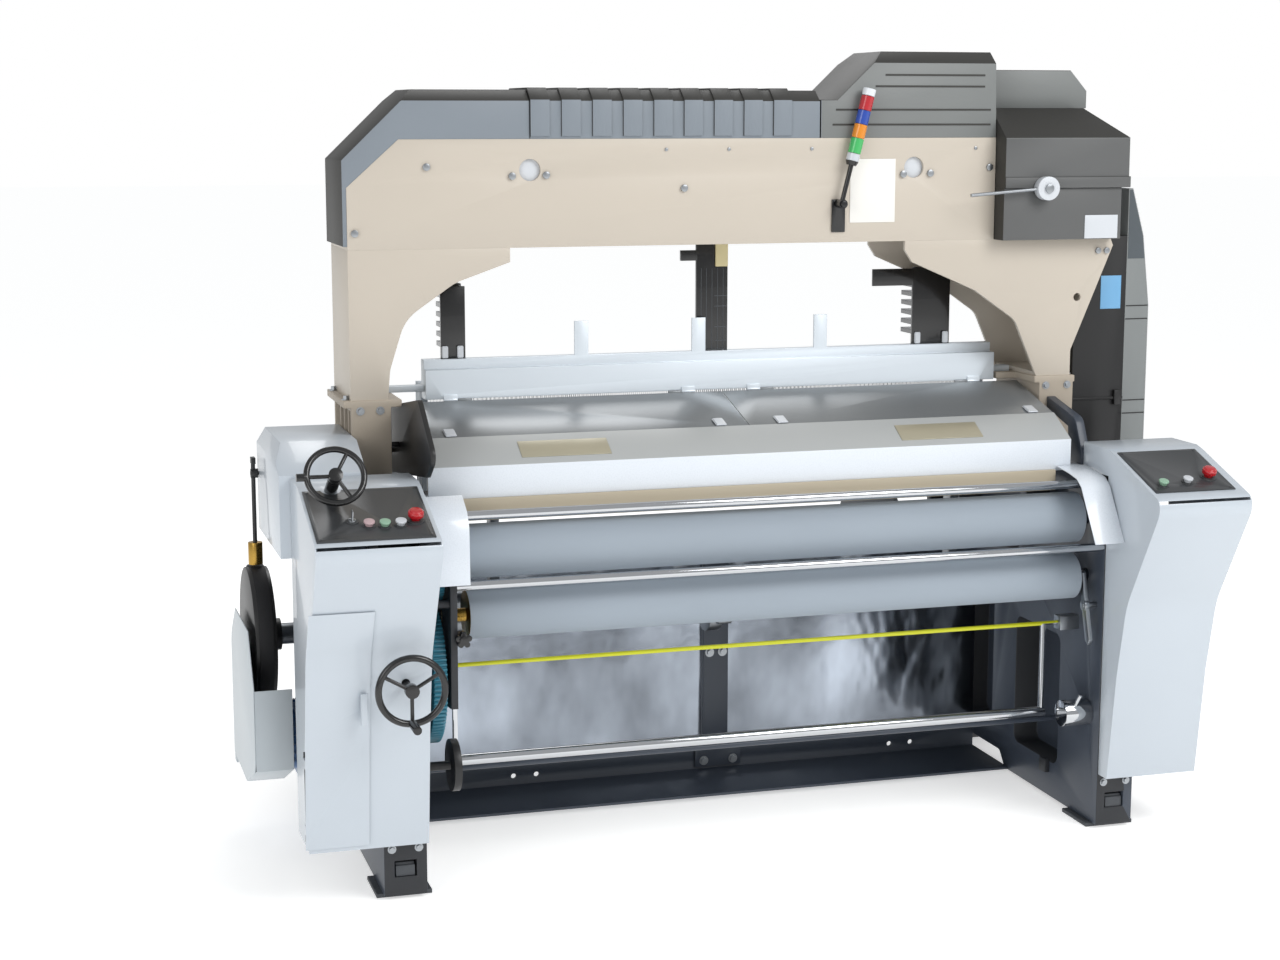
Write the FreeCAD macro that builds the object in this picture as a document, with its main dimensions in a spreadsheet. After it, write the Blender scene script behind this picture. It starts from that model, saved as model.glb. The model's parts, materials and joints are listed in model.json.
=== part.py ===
import FreeCAD, Part
import Sketcher
import math
import os
from types import SimpleNamespace

# Power loom. X runs along the width, Y from the weaver's side to the warp side, Z up, in mm.
# Every place below is counted from the middle of the frames, the front of the feet and the
# floor; put() then moves it so that the outer box is centred on the origin.

SIZES = {
    "half_gap": 985, "frame_thick": 115, "pad_thick": 12, "frame_top": 1040,
    "frame_rear": 1240, "pedestal_height": 243, "flange_thick": 20,
    "leg_height": 407, "beam_height": 295, "beam_left": 1100, "beam_right": 800,
    "gantry_front": 390, "gantry_back": 675, "gantry_plate": 12,
    "cover_height": 133, "hood_height": 244, "rib_pitch": 88, "rib_width": 55, "rib_rise": 6,
    "sheet": 3, "play": 0.3,
    "nose_reach": 290, "nose_height": 1015, "console_back": 150,
    "console_left_width": 202, "console_right_width": 173, "console_tilt": 19.38,
    "casing_width": 250, "casing_base": 300, "guard_width": 295,
    "roller_radius": 73, "roller_y": 120, "roller_z": 905,
    "press_radius": 66, "press_y": 110, "press_z": 735,
    "gear_radius": 200, "gear_y": 185, "gear_z": 575, "small_gear_radius": 135.8,
    "shaft_y": 600, "shaft_z": 600, "shaft_radius": 30, "wheel_radius": 195,
    "motor_y": 640, "motor_z": 290, "motor_radius": 95, "pulley_radius": 45,
    "warp_y": 1400, "warp_z": 500, "flange_radius": 340, "barrel_radius": 75,
    "rest_y": 1180, "rest_z": 1000, "rest_radius": 60,
    "rocker_y": 430, "rocker_z": 700, "rocker_radius": 28, "reed_height": 90,
    "heald_y": 586, "heald_pitch": 21, "heald_thick": 12, "heald_half": 870,
    "heald_top": 1300, "heald_bottom": 960, "slat_height": 38,
    "lid_half": 940, "lid_front": 251, "lid_low": 1190, "hinge_y": 505, "hinge_z": 1261,
    "swing_y": 160, "swing_z": 585, "swing_drop": 265,
    "bar_radius": 12.5, "lamp_radius": 19, "lamp_length": 222,
}

doc = FreeCAD.newDocument("PowerLoom")
sheet = doc.addObject("Spreadsheet::Sheet", "Sizes")
for row, (name, value) in enumerate(SIZES.items(), 1):
    sheet.set(f"A{row}", name)
    sheet.set(f"B{row}", str(value))
    sheet.setAlias(f"B{row}", name)
doc.recompute()


class Size:
    """A number together with the sheet expression that gives it."""

    def __init__(self, value, text=None):
        self.value = float(value)
        self.fixed = text is None
        self.text = text or f"({self.value:g})"

    def joined(self, other, sign, value):
        other = size(other)
        if self.fixed and other.fixed:
            return Size(value)
        return Size(value, f"({self.text} {sign} {other.text})")

    def __add__(self, other):
        return self.joined(other, "+", self.value + size(other).value)

    def __sub__(self, other):
        return self.joined(other, "-", self.value - size(other).value)

    def __mul__(self, other):
        return self.joined(other, "*", self.value * size(other).value)

    def __truediv__(self, other):
        return self.joined(other, "/", self.value / size(other).value)

    def __radd__(self, other):
        return size(other) + self

    def __rsub__(self, other):
        return size(other) - self

    def __neg__(self):
        return self * -1


def size(value):
    """Plain numbers become sizes, sizes stay as they are."""
    return value if isinstance(value, Size) else Size(value)


s = SimpleNamespace(**{name: Size(value, "Sizes." + name) for name, value in SIZES.items()})
inner = s.half_gap
outer = s.half_gap + s.frame_thick
frame_middle = s.half_gap + s.frame_thick / 2
s.casing_right = outer + s.casing_width
s.guard_reach = outer + s.guard_width
s.console_left_edge = outer + s.console_left_width
s.console_right_edge = outer + s.console_right_width
s.console_gap = inner + 3
s.flange_top = s.frame_top + s.pedestal_height
s.beam_base = s.flange_top + s.leg_height
s.beam_top = s.beam_base + s.beam_height
s.cover_top = s.beam_top + s.cover_height
s.hood_top = s.beam_top + s.hood_height
slope_rise = Size(math.tan(math.radians(s.console_tilt.value)), "tan(Sizes.console_tilt * 1 deg)")
centre_x = (s.casing_right - s.guard_reach) / 2
centre_y = (s.warp_y + s.flange_radius - s.nose_reach) / 2


# ---------------------------------------------------------------- building helpers

def bind(thing, prop, value):
    """Give a property its value, tied to the sheet when it comes from there."""
    value = size(value)
    if value.fixed:
        setattr(thing, prop, value.value)
    else:
        thing.setExpression(prop, value.text)


def put(thing, x, y, z, rotation=None, local=False):
    """Place a thing; local things belong to a group that is placed as a whole."""
    if not local:
        x = size(x) - centre_x
        y = size(y) - centre_y
    spot = FreeCAD.Vector(size(x).value, size(y).value, size(z).value)
    thing.Placement = FreeCAD.Placement(spot, rotation or FreeCAD.Rotation())
    for axis, value in zip("xyz", (x, y, z)):
        if not size(value).fixed:
            thing.setExpression("Placement.Base." + axis, size(value).text)
    return thing


def box(label, x, y, z, local=False):
    """Block between the three pairs of faces."""
    thing = doc.addObject("Part::Box", label)
    for prop, (low, high) in zip(("Length", "Width", "Height"), (x, y, z)):
        bind(thing, prop, size(high) - low)
    return put(thing, x[0], y[0], z[0], local=local)


TURNS = {
    "X": FreeCAD.Rotation(FreeCAD.Vector(0, 1, 0), 90),
    "Y": FreeCAD.Rotation(FreeCAD.Vector(1, 0, 0), -90),
    "Z": FreeCAD.Rotation(),
}


def rod(label, axis, at, span, radius, local=False):
    """Round bar along an axis; at is its place across that axis."""
    thing = doc.addObject("Part::Cylinder", label)
    bind(thing, "Radius", radius)
    bind(thing, "Height", size(span[1]) - span[0])
    spot = {"X": (span[0], *at), "Y": (at[0], span[0], at[1]), "Z": (*at, span[0])}[axis]
    return put(thing, *spot, rotation=TURNS[axis], local=local)


def strut(label, start, end, radius, local=False):
    """Round bar from one point to another."""
    run = FreeCAD.Vector(*[size(b).value - size(a).value for a, b in zip(start, end)])
    thing = doc.addObject("Part::Cylinder", label)
    bind(thing, "Radius", radius)
    thing.Height = run.Length
    turn = FreeCAD.Rotation(FreeCAD.Vector(0, 0, 1), run)
    return put(thing, *start, rotation=turn, local=local)


def raise_outline(body, label, plane, outline, length):
    """Sketch a closed outline in a body, every corner placed, and pad it."""
    sketch = body.newObject("Sketcher::SketchObject", label + "_outline")
    role = plane + "_Plane"
    support = [item for item in body.Origin.OriginFeatures if item.Role == role][0]
    sketch.AttachmentSupport = [(support, "")]
    sketch.MapMode = "FlatFace"
    corners = [(size(a), size(b)) for a, b in outline]
    count = len(corners)
    spots = [FreeCAD.Vector(a.value, b.value, 0) for a, b in corners]
    for number in range(count):
        edge = Part.LineSegment(spots[number], spots[(number + 1) % count])
        sketch.addGeometry(edge, False)
    for number, corner in enumerate(corners):
        before = (number - 1) % count
        sketch.addConstraint(Sketcher.Constraint("Coincident", before, 2, number, 1))
        for kind, value in zip(("DistanceX", "DistanceY"), corner):
            rule = Sketcher.Constraint(kind, -1, 1, number, 1, value.value)
            index = sketch.addConstraint(rule)
            if not value.fixed:
                sketch.setExpression(f"Constraints[{index}]", value.text)
    pad = body.newObject("PartDesign::Pad", label + "_pad")
    pad.Profile = (sketch, [""])
    pad.Reversed = plane == "XZ"
    bind(pad, "Length", length)
    return pad


def prism(label, plane, outline, span, rounds=None, local=False):
    """Body with a constant outline; rounds gives the corners to round for each radius."""
    body = doc.addObject("PartDesign::Body", label)
    tip = raise_outline(body, label, plane, outline, size(span[1]) - span[0])
    for radius, corners in (rounds or {}).items():
        doc.recompute()
        wanted = [outline[corner] for corner in corners]
        fillet = body.newObject("PartDesign::Fillet", label + "_round")
        fillet.Base = (tip, upright_edges(tip.Shape, plane, wanted))
        fillet.Radius = radius
        tip = fillet
    spot = {"YZ": (span[0], 0, 0), "XZ": (0, span[0], 0), "XY": (0, 0, span[0])}[plane]
    return put(body, *spot, local=local)


def upright_edges(shape, plane, corners):
    """Names of the edges that stand on the given outline corners."""
    pick = {"YZ": (1, 2), "XZ": (0, 2), "XY": (0, 1)}[plane]
    names = []
    for number, edge in enumerate(shape.Edges, 1):
        ends = [(v.Point[pick[0]], v.Point[pick[1]]) for v in edge.Vertexes]
        for a, b in corners:
            spot = (size(a).value, size(b).value)
            if len(ends) == 2 and all(math.dist(end, spot) < 1e-3 for end in ends):
                names.append(f"Edge{number}")
    return names


def cut(label, base, tools):
    """Base less the tools."""
    thing = doc.addObject("Part::Cut", label)
    thing.Base = base
    thing.Tool = tools[0] if len(tools) == 1 else fuse(label + "_tools", tools)
    return thing


def fuse(label, items):
    """Items joined into one solid."""
    thing = doc.addObject("Part::MultiFuse", label)
    thing.Shapes = items
    return thing


def common(label, items):
    """What all the items share."""
    thing = doc.addObject("Part::MultiCommon", label)
    thing.Shapes = items
    return thing


def group(label, items):
    """Items kept as separate solids of one piece."""
    thing = doc.addObject("Part::Compound", label)
    thing.Links = items
    return thing


def side(hand, near, far):
    """Span between two distances from the middle: hand 1 is right, -1 is left."""
    return (size(near), size(far)) if hand > 0 else (-size(far), -size(near))


def tube(label, axis, at, span, radius, bore, local=False):
    """Round bar with a hole through it."""
    low, high = size(span[0]), size(span[1])
    bar = rod(label + "_bar", axis, at, span, radius, local)
    hole = rod(label + "_hole", axis, at, (low - 1, high + 1), bore, local)
    return cut(label, bar, [hole])


def stepped(label, axis, at, steps):
    """Shaft made of round lengths, each given as radius, start and end."""
    bars = [rod(f"{label}_step{number}", axis, at, (low, high), radius)
            for number, (radius, low, high) in enumerate(steps)]
    return fuse(label, bars)


def toothed(label, at, span, radius, teeth, depth, bore):
    """Toothed disc on an X axis, its outline laid out by formula."""
    tip = size(radius).value
    points = []
    for number in range(teeth):
        for part, reach in ((0, -depth), (0.3, -depth), (0.5, 0), (0.8, 0)):
            angle = 2 * math.pi * (number + part) / teeth
            across = (tip + reach) * math.cos(angle)
            points.append(FreeCAD.Vector(0, across, (tip + reach) * math.sin(angle)))
    rim = Part.makePolygon(points + points[:1])
    length = (size(span[1]) - span[0]).value
    disc = Part.Face(rim).extrude(FreeCAD.Vector(length, 0, 0))
    if bore:
        axis = FreeCAD.Vector(1, 0, 0)
        hole = Part.makeCylinder(bore, length + 2, FreeCAD.Vector(-1, 0, 0), axis)
        disc = disc.cut(hole)
    thing = doc.addObject("Part::Feature", label)
    thing.Shape = disc
    return put(thing, span[0], *at)


def tilted(label, items, y, z, angle):
    """Group laid out flat and then turned about X and placed as a whole."""
    thing = group(label, items)
    turn = FreeCAD.Rotation(FreeCAD.Vector(1, 0, 0), angle)
    return put(thing, 0, y, z, rotation=turn)


# ---------------------------------------------------------------- frames and stretchers

def side_frame(label, hand):
    """Cast side frame: thick outline, pockets from the inside, bearing bores, foot slot."""
    pad = s.pad_thick
    top = s.frame_top
    rear = s.frame_rear
    outline = [(0, pad), (0, top - 60), (50, top), (rear - 230, top), (rear, top - 180),
               (rear, pad), (940, pad), (900, pad + 48), (640, pad + 48), (600, pad)]
    rounds = {40: [1, 2], 60: [3, 4], 20: [7, 8]}
    plate = prism(label + "_plate", "YZ", outline, side(hand, inner, outer), rounds)
    pockets = [(250, 540, 120, 520), (700, 900, 120, 600), (540, 980, 720, 980),
               (220, 500, 830, 970), (960, 1200, 300, 800)]
    tools = []
    for number, (y0, y1, z0, z1) in enumerate(pockets):
        spot = [(y0, z0), (y0, z1), (y1, z1), (y1, z0)]
        span = side(hand, inner - 1, inner + 80)
        tools.append(prism(f"{label}_pocket{number}", "YZ", spot, span, {30: [0, 1, 2, 3]}))
    bores = [(s.roller_y, s.roller_z, 22, 70), (s.rocker_y, s.rocker_z, s.rocker_radius, 70),
             (72, 335, 12, 45)]
    if hand > 0:
        bores += [(s.press_y, s.press_z, 18, 70), (s.shaft_y, s.shaft_z, s.shaft_radius, 80)]
    else:
        bores.append((s.shaft_y, s.shaft_z, s.shaft_radius, s.frame_thick + 1))
    for number, (y, z, radius, depth) in enumerate(bores):
        span = side(hand, inner - 1, inner + depth)
        tools.append(rod(f"{label}_bore{number}", "X", (y, z), span, s.play + radius))
    slot = side(hand, frame_middle - 30, frame_middle + 30)
    tools.append(box(label + "_slot", slot, (-1, 60), (62, 107)))
    if hand < 0:
        tools.append(rod(label + "_crank_bore", "Y", (-1055, 619), (-1, 50), s.play + 8))
    return cut(label, plate, tools)


def levelling_feet():
    """Four floor pads and a ribbed wedge block in each front foot slot."""
    items = []
    for hand in (-1, 1):
        x = side(hand, frame_middle - 75, frame_middle + 75)
        for y in (25, s.frame_rear - 225):
            items.append(box("foot_pad", x, (y, size(y) + 150), (0, s.pad_thick)))
        slim = side(hand, frame_middle - 26, frame_middle + 26)
        wedge = box("foot_wedge_body", slim, (4, 56), (62, 92))
        ribs = [box("foot_wedge_rib", slim, (12 + 14 * n, 18 + 14 * n), (92, 99)) for n in range(3)]
        items.append(fuse("foot_wedge", [wedge] + ribs))
    return group("levelling_feet", items)


def stretchers():
    """Front tray and web, centre strut, cross tube and rear box tube."""
    wide = (-inner, inner)
    tray = box("tray_floor", wide, (575, 835), (14, 22))
    web = box("tray_web", wide, (835, 843), (14, 92))
    holes = [rod("web_hole", "Y", (x, 49), (830, 850), 8) for x in (-552, -480, 691, 764)]
    front = cut("front_tray", fuse("front_tray_sheet", [tray, web]), holes)
    column = box("strut_column", (53, 133), (815, 838), (92, 680))
    flange = box("strut_flange", (30, 180), (825, 835), (30, 92))
    strut_piece = fuse("centre_strut", [column, flange])
    outside = box("cross_outside", wide, (840, 880), (640, 680))
    inside = box("cross_inside", (-inner - 1, inner + 1), (844, 876), (644, 676))
    cross = cut("cross_tube", outside, [inside])
    outside = box("rear_outside", wide, (960, 1040), (180, 260))
    inside = box("rear_inside", (-inner - 1, inner + 1), (965, 1035), (185, 255))
    rear = cut("rear_tube", outside, [inside])
    low_bar = rod("low_bar", "X", (250, 270), wide, 8)
    return group("stretchers", [front, strut_piece, cross, rear, low_bar])


def guard_sheet():
    """Polished sheet that closes the space behind the take-up."""
    return box("guard_sheet", (-inner + 1, inner - 1), (838, 840), (92, 680))


# ---------------------------------------------------------------- gantry

def cast_pedestals():
    """Ribbed castings that carry the gantry on the side frames."""
    items = []
    low = s.frame_top
    under = s.flange_top - s.flange_thick
    shapes = ((-1, 990, 1100, 960, 1120), (1, 960, 1070, 943, 1075))
    for hand, near, far, edge, reach in shapes:
        name = "pedestal_left" if hand < 0 else "pedestal_right"
        column = box(name + "_column", side(hand, near, far), (385, 680), (low, under))
        hollow = box(name + "_hollow", side(hand, near + 14, far + 1), (399, 666), (low + 14, under - 10))
        shell = cut(name + "_shell", column, [hollow])
        ribs = [box(name + "_rib", side(hand, near + 10, far - 4), (y, y + 12), (low + 12, under - 8))
                for y in (460, 528, 596)]
        top = box(name + "_top", side(hand, edge, reach), (385, 680), (under, s.flange_top))
        parts = [shell, top] + ribs
        if hand > 0:
            parts.append(box(name + "_ear", (880, 950), (515, 680), (under, s.flange_top)))
        items.append(fuse(name, parts))
    return group("cast_pedestals", items)


def gantry_legs():
    """Left and right channel legs, each with two shaped plates and an outer web."""
    base = s.flange_top
    top = s.beam_base
    front = (s.gantry_front, s.gantry_front + s.gantry_plate)
    back = (s.gantry_back - s.gantry_plate, s.gantry_back)
    left = [(-s.beam_left, top), (-652, top), (-652, top - 39), (-807, top - 93),
            (-947, top - 190), (-990, base + 81), (-997, base), (-s.beam_left, base)]
    right = [(520, top), (520, top - 26), (543, top - 61), (744, top - 147), (876, top - 238),
             (950, base), (1060, base), (1060, base + 75), (1190, top - 23), (1180, top)]
    plates = []
    for name, outline, rounds in (("left_leg", left, {120: [3, 4], 80: [5]}),
                                  ("right_leg", right, {60: [3, 4], 20: [7]})):
        parts = [prism(name + "_front", "XZ", outline, front, rounds),
                 prism(name + "_back", "XZ", outline, back, rounds)]
        plates.append(parts)
    middle = (front[1], back[0])
    web = box("left_leg_web", (-s.beam_left, -s.beam_left + s.gantry_plate), middle, (base, top))
    sole = box("left_leg_sole", (-s.beam_left + s.gantry_plate, -997), middle, (base, base + 12))
    left_leg = fuse("left_leg", plates[0] + [web, sole])
    bent = [(1060, base), (1060, base + 75), (1190, top - 23), (1180, top),
            (1168, top), (1178, top - 24), (1048, base + 77), (1048, base)]
    web = prism("right_leg_web", "XZ", bent, middle)
    sole = box("right_leg_sole", (950, 1048), middle, (base, base + 12))
    hole = rod("right_leg_hole", "Y", (1077, top - 175), (380, 410), 12)
    right_leg = cut("right_leg", fuse("right_leg_body", plates[1] + [web, sole]), [hole])
    return group("gantry_legs", [left_leg, right_leg])


def gantry_beam():
    """Trough beam with two round windows and slots for the heald rods."""
    low = s.beam_base
    high = s.beam_top
    front, back, plate = s.gantry_front, s.gantry_back, s.gantry_plate
    outline = [(-s.beam_left, low), (-s.beam_left, high - 128), (-957, high),
               (s.beam_right, high), (s.beam_right, low)]
    face = prism("beam_face", "XZ", outline, (front, front + plate))
    rear = prism("beam_rear", "XZ", outline, (back - plate, back))
    middle = (front + plate, back - plate)
    floor = box("beam_floor", (-s.beam_left, s.beam_right), middle, (low, low + plate))
    end = box("beam_end", (-s.beam_left, -s.beam_left + plate), middle, (low + plate, high - 128))
    stop = box("beam_stop", (s.beam_right - plate, s.beam_right), middle, (low + plate, high))
    ribs = [box("beam_rib", (x, x + 8), middle, (low + plate, high - 60)) for x in (-540, 40, 620)]
    windows = [rod("beam_window", "Y", (x, high - 84), (380, 410), 30) for x in (-594, 543)]
    slots = [box("rod_slot", (x - 20, x + 20), (578, back - plate), (low - 1, low + plate + 1))
             for x in (-780, 700)]
    whole = fuse("beam_body", [face, rear, floor, end, stop] + ribs)
    return cut("gantry_beam", whole, windows + slots)


def gantry_fittings():
    """Bolt heads, window discs, the dobby lever stud and two small screws rows."""
    front = s.gantry_front
    items = []
    bolts = [(-882, 1911), (-645, 1885), (-549, 1887), (-152, 1848), (509, 1882), (593, 1884),
             (-1080, 1735), (780, 1900)]
    for x, z in bolts:
        items.append(rod("beam_bolt", "Y", (x, s.beam_top + (z - 1985)), (front - 7, front), 10))
    for x in (-204, -20, 228, 373, 735):
        items.append(rod("beam_screw", "Y", (x, s.beam_top - 30), (front - 3, front), 5))
    for x in (1140, 1168):
        items.append(rod("leg_bolt", "Y", (x, s.beam_base - 38), (front - 7, front), 9))
    for x in (-594, 543):
        disc = rod("window_disc", "Y", (x, s.beam_top - 84), (front + 12, front + 17), 38)
        items.append(disc)
    stud = [rod("lever_stud", "Y", (924, 1840), (288, 321), 8),
            rod("lever_cap", "Y", (924, 1840), (283, 289), 13)]
    items.append(fuse("lever_pivot", stud))
    return group("gantry_fittings", items)


def rib_band(base, rise):
    """Cross-section of the ribbed cover, a bent sheet over the gantry."""
    front, back = s.gantry_front, s.gantry_back
    top = s.cover_top
    high, low = rise, (0 if base else 7)
    outside = [(front - high, s.beam_top + low), (front - high, top - 30 + high / 2),
               (front + 40 - high / 3, top + high), (back - 40 + high / 3, top + high),
               (back + high, top - 30 + high / 2), (back + high, s.beam_top + low)]
    thick = s.sheet if base else 0
    inside = [(back - thick, s.beam_top + low), (back - thick, top - 30 - thick / 3),
              (back - 40 - thick / 3, top - thick), (front + 40 + thick / 3, top - thick),
              (front + thick, top - 30 - thick / 3), (front + thick, s.beam_top + low)]
    return outside + inside


def top_covers():
    """Plain left cover, ribbed middle cover, tall hood and rear hood."""
    front, back, base, top = s.gantry_front, s.gantry_back, s.beam_top, s.cover_top
    ribbed = doc.addObject("PartDesign::Body", "ribbed_cover")
    raise_outline(ribbed, "ribbed_sheet", "YZ", rib_band(True, Size(0)), size(845))
    band = raise_outline(ribbed, "ribbed_band", "YZ", rib_band(False, s.rib_rise), s.rib_width)
    ribbed.Tip = band
    pattern = ribbed.newObject("PartDesign::LinearPattern", "ribbed_row")
    pattern.Originals = [band]
    line = [item for item in ribbed.Origin.OriginFeatures if item.Role == "X_Axis"][0]
    pattern.Direction = (line, [""])
    pattern.Mode = 1
    pattern.setExpression("Offset", s.rib_pitch.text)
    pattern.Occurrences = 9
    ribbed.Tip = pattern
    put(ribbed, -593, 0, 0)

    profile = [(front, base - 300), (front, top - 30), (front + 40, top), (back - 40, top),
               (back, top - 30), (back, base - 300)]
    plain = [(-594, base), (-594, top), (-917, top), (-1112, top - 188), (-1112, base - 285),
             (-1100, base - 285), (-1100, base - 128), (-957, base)]
    left = shell("plain_cover", plain, profile, (-1120, -594), "left")

    profile = [(front, base), (front, s.hood_top - 33), (front + 40, s.hood_top),
               (back - 40, s.hood_top), (back, s.hood_top - 33), (back, base)]
    tall = [(255, base), (255, base + 107), (305, base + 107), (450, s.hood_top),
            (794, s.hood_top), (s.beam_right, base)]
    hood = shell("tall_hood", tall, profile, (250, 800), "hood")
    low = s.beam_base + 379
    outside = [(830, low), (830, low + 111), (1080, low + 111), (1134, low + 51), (1134, low)]
    inside = [(833, low - 9), (833, low + 108), (1079, low + 108), (1131, low + 50),
              (1131, low - 9)]
    rear = cut("rear_hood", prism("rear_hood_out", "XZ", outside, (480, 675)),
               [prism("rear_hood_in", "XZ", inside, (483, 672))])
    return group("top_covers", [ribbed, left, hood, rear])


def shell(label, shape, profile, span, kind):
    """Sheet cover: what a front outline and a side profile share, hollowed from below."""
    body = common(label + "_out", [prism(label + "_shape", "XZ", shape, (380, 690)),
                                   prism(label + "_profile", "YZ", profile, span)])
    t = s.sheet
    if kind == "left":
        low = s.beam_top - 3
        small = [(-590, low), (-590, s.cover_top - t), (-916, s.cover_top - t),
                 (-1112 + t, s.cover_top - 189), (-1112 + t, low - 290), (-1100, low - 290),
                 (-1100, low - 125), (-957, low)]
    else:
        low = s.beam_top - 3
        small = [(258, low), (258, s.beam_top + 104), (306, s.beam_top + 104),
                 (451, s.hood_top - t), (791, s.hood_top - t), (797, low)]
    middle = len(profile) - 1
    inset = []
    for number, (y, z) in enumerate(profile):
        turn = t if number < len(profile) / 2 else -t
        drop = t * 0 - 20 if number in (0, middle) else -t
        inset.append((y + turn, z + drop))
    core = common(label + "_in", [prism(label + "_small", "XZ", small, (380, 690)),
                                  prism(label + "_inset", "YZ", inset, span)])
    return cut(label, body, [core])


def dobby_box():
    """Box at the right end of the gantry with a sloped cover and a ledge around it."""
    t = s.sheet
    low = s.beam_base
    deck = low + 150
    roof = low + 379
    out = box("box_out", (801, 1180), (330, 675), (low, deck))
    hollow = box("box_in", (801 + t, 1180 - t), (330 + t, 675 - t), (low + t, deck + 1))
    lower = cut("dobby_lower", out, [hollow])
    profile = [(325, deck), (325, low + 294), (430, roof), (680, roof), (680, deck)]
    shape = [(801, deck), (801, roof), (1100, roof), (1200, low + 295), (1200, deck)]
    body = common("dobby_cover_out", [prism("dobby_profile", "YZ", profile, (796, 1200)),
                                      prism("dobby_shape", "XZ", shape, (325, 680))])
    profile = [(328, deck - 10), (328, low + 293), (431, roof - t), (677, roof - t),
               (677, deck - 10)]
    shape = [(804, deck - 10), (804, roof - t), (1099, roof - t), (1197, low + 294),
             (1197, deck - 10)]
    core = common("dobby_cover_in", [prism("dobby_profile_in", "YZ", profile, (796, 1200)),
                                     prism("dobby_shape_in", "XZ", shape, (325, 680))])
    cover = cut("dobby_cover", body, [core])
    ledge = cut("dobby_ledge", box("ledge_out", (801, 1204), (321, 684), (deck, deck + 32)),
                [box("ledge_in", (790, 1200), (325, 680), (deck - 1, deck + 33))])
    return group("dobby_box", [lower, cover, ledge])


def rear_casing():
    """Tall casing behind the right frame: black body and a grey side panel."""
    low = s.casing_base
    seam = outer + 171
    black = [(outer, low), (outer, 1440), (outer + 100, 1672), (outer + 100, 1690), (seam, 1690),
             (seam, low)]
    right = s.casing_right
    grey = [(seam, low), (seam, 1832), (seam + 14, 1832), (right - 25, 1690), (right, 1480),
            (right, low)]
    body = prism("casing_body", "XZ", black, (450, 680))
    core = [(outer + 3, low + 3), (outer + 3, 1439), (outer + 103, 1672), (outer + 103, 1687),
            (seam - 3, 1687), (seam - 3, low + 3)]
    body = cut("casing_shell", body, [prism("casing_core", "XZ", core, (453, 677))])
    panel = prism("casing_panel_out", "XZ", grey, (450, 680), {30: [4]})
    core = [(seam + 3, low + 3), (seam + 3, 1826), (seam + 12, 1826), (right - 28, 1689),
            (right - 3, 1480),
            (right - 3, low + 3)]
    panel = cut("casing_panel", panel, [prism("casing_panel_in", "XZ", core, (453, 677))])
    ridge = box("casing_ridge", (outer, seam), (446, 450), (1196, 1204))
    latch = box("casing_latch", (1240, 1262), (440, 450), (1180, 1225))
    catch = fuse("casing_catch", [ridge, latch])
    tag = box("casing_tag", (1186, 1254), (448, 450), (1472, 1572))
    return group("rear_casing", [body, panel, catch, tag])


def blank_plates():
    """Bare plates: two on the breast cover, notice plate on the beam, plate on the box."""
    low = s.beam_base
    slope = s.frame_top
    items = [box("notice_plate", (346, 485), (388, 390), (low + 55, low + 236)),
             box("label_plate", (1062, 1169), (328, 330), (low + 2, low + 70))]
    for x in (-678, 424):
        outline = [(161, slope + 103.2), (221, slope + 137.2), (220, slope + 139.2),
                   (160, slope + 105.2)]
        items.append(prism("name_plate", "YZ", outline, (x, x + 250)))
    return group("blank_plates", items)


def tower_bracket():
    """Plate and pin that hold the signal lamps on the beam face."""
    plate = box("bracket_plate", (290, 330), (384, 390), (1719, 1812))
    pin = rod("bracket_pin", "Y", (310, 1800), (344, 385), 5)
    cap = rod("bracket_cap", "Y", (310, 1800), (340, 345), 9)
    return fuse("tower_bracket", [plate, pin, cap])


def signal_lamps():
    """Leaning stack of lamps on a stem that turns on the bracket pin."""
    lean = FreeCAD.Vector(0.2426, 0, 0.9701)
    at = [FreeCAD.Vector(310, 362, 1800) + lean * reach for reach in (12, 112, 112 + 222)]
    eye = rod("lamp_eye_bar", "Y", (310, 1800), (346, 378), 13)
    stem = strut("lamp_stem", tuple(at[0]), tuple(at[1]), 7)
    hole = rod("lamp_eye_hole", "Y", (310, 1800), (340, 384), s.play + 5)
    lower = cut("lamp_lower", fuse("lamp_lower_body", [eye, stem]), [hole])
    stack = doc.addObject("Part::Cylinder", "lamp_stack")
    bind(stack, "Radius", s.lamp_radius)
    bind(stack, "Height", s.lamp_length)
    put(stack, *at[1], rotation=FreeCAD.Rotation(FreeCAD.Vector(0, 0, 1), lean))
    return fuse("signal_lamps", [lower, stack])


def dobby_lever():
    """Lever disc with its long rod, turning on the stud of the box."""
    disc = rod("lever_disc", "Y", (924, 1840), (290, 318), 34)
    arm = strut("lever_arm", (900, 304, 1838.2), (684, 304, 1822), 5)
    hole = rod("lever_hole", "Y", (924, 1840), (280, 330), s.play + 8)
    return cut("dobby_lever", fuse("lever_body", [disc, arm]), [hole])


# ---------------------------------------------------------------- healds, lids and covers

def heald_rail():
    """White rail with its upper strip, three uprights, end brackets and hinge lugs."""
    half = s.heald_half - 1
    low = s.flange_top - 20
    parts = [box("rail_main", (-half, half), (510, 540), (low, low + 82)),
             box("rail_strip", (-half, half), (540, 575), (low, low + 109)),
             box("rail_bracket_left", (-975, -half), (540, 575), (s.flange_top, s.flange_top + 17)),
             box("rail_bracket_right", (half, 935), (540, 575), (s.flange_top, s.flange_top + 17))]
    for x in (-430, -78, 300):
        parts.append(box("rail_upright", (x, x + 41), (540, 548), (low + 109, low + 207)))
    for x in (-820, -120, 80, 780):
        parts.append(box("hinge_lug", (x, x + 40), (503, 511), (s.hinge_z - 3, s.hinge_z + 14)))
        parts.append(rod("hinge_knuckle", "X", (s.hinge_y, s.hinge_z), (x, x + 40), 4))
    return fuse("heald_rail", parts)


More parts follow.
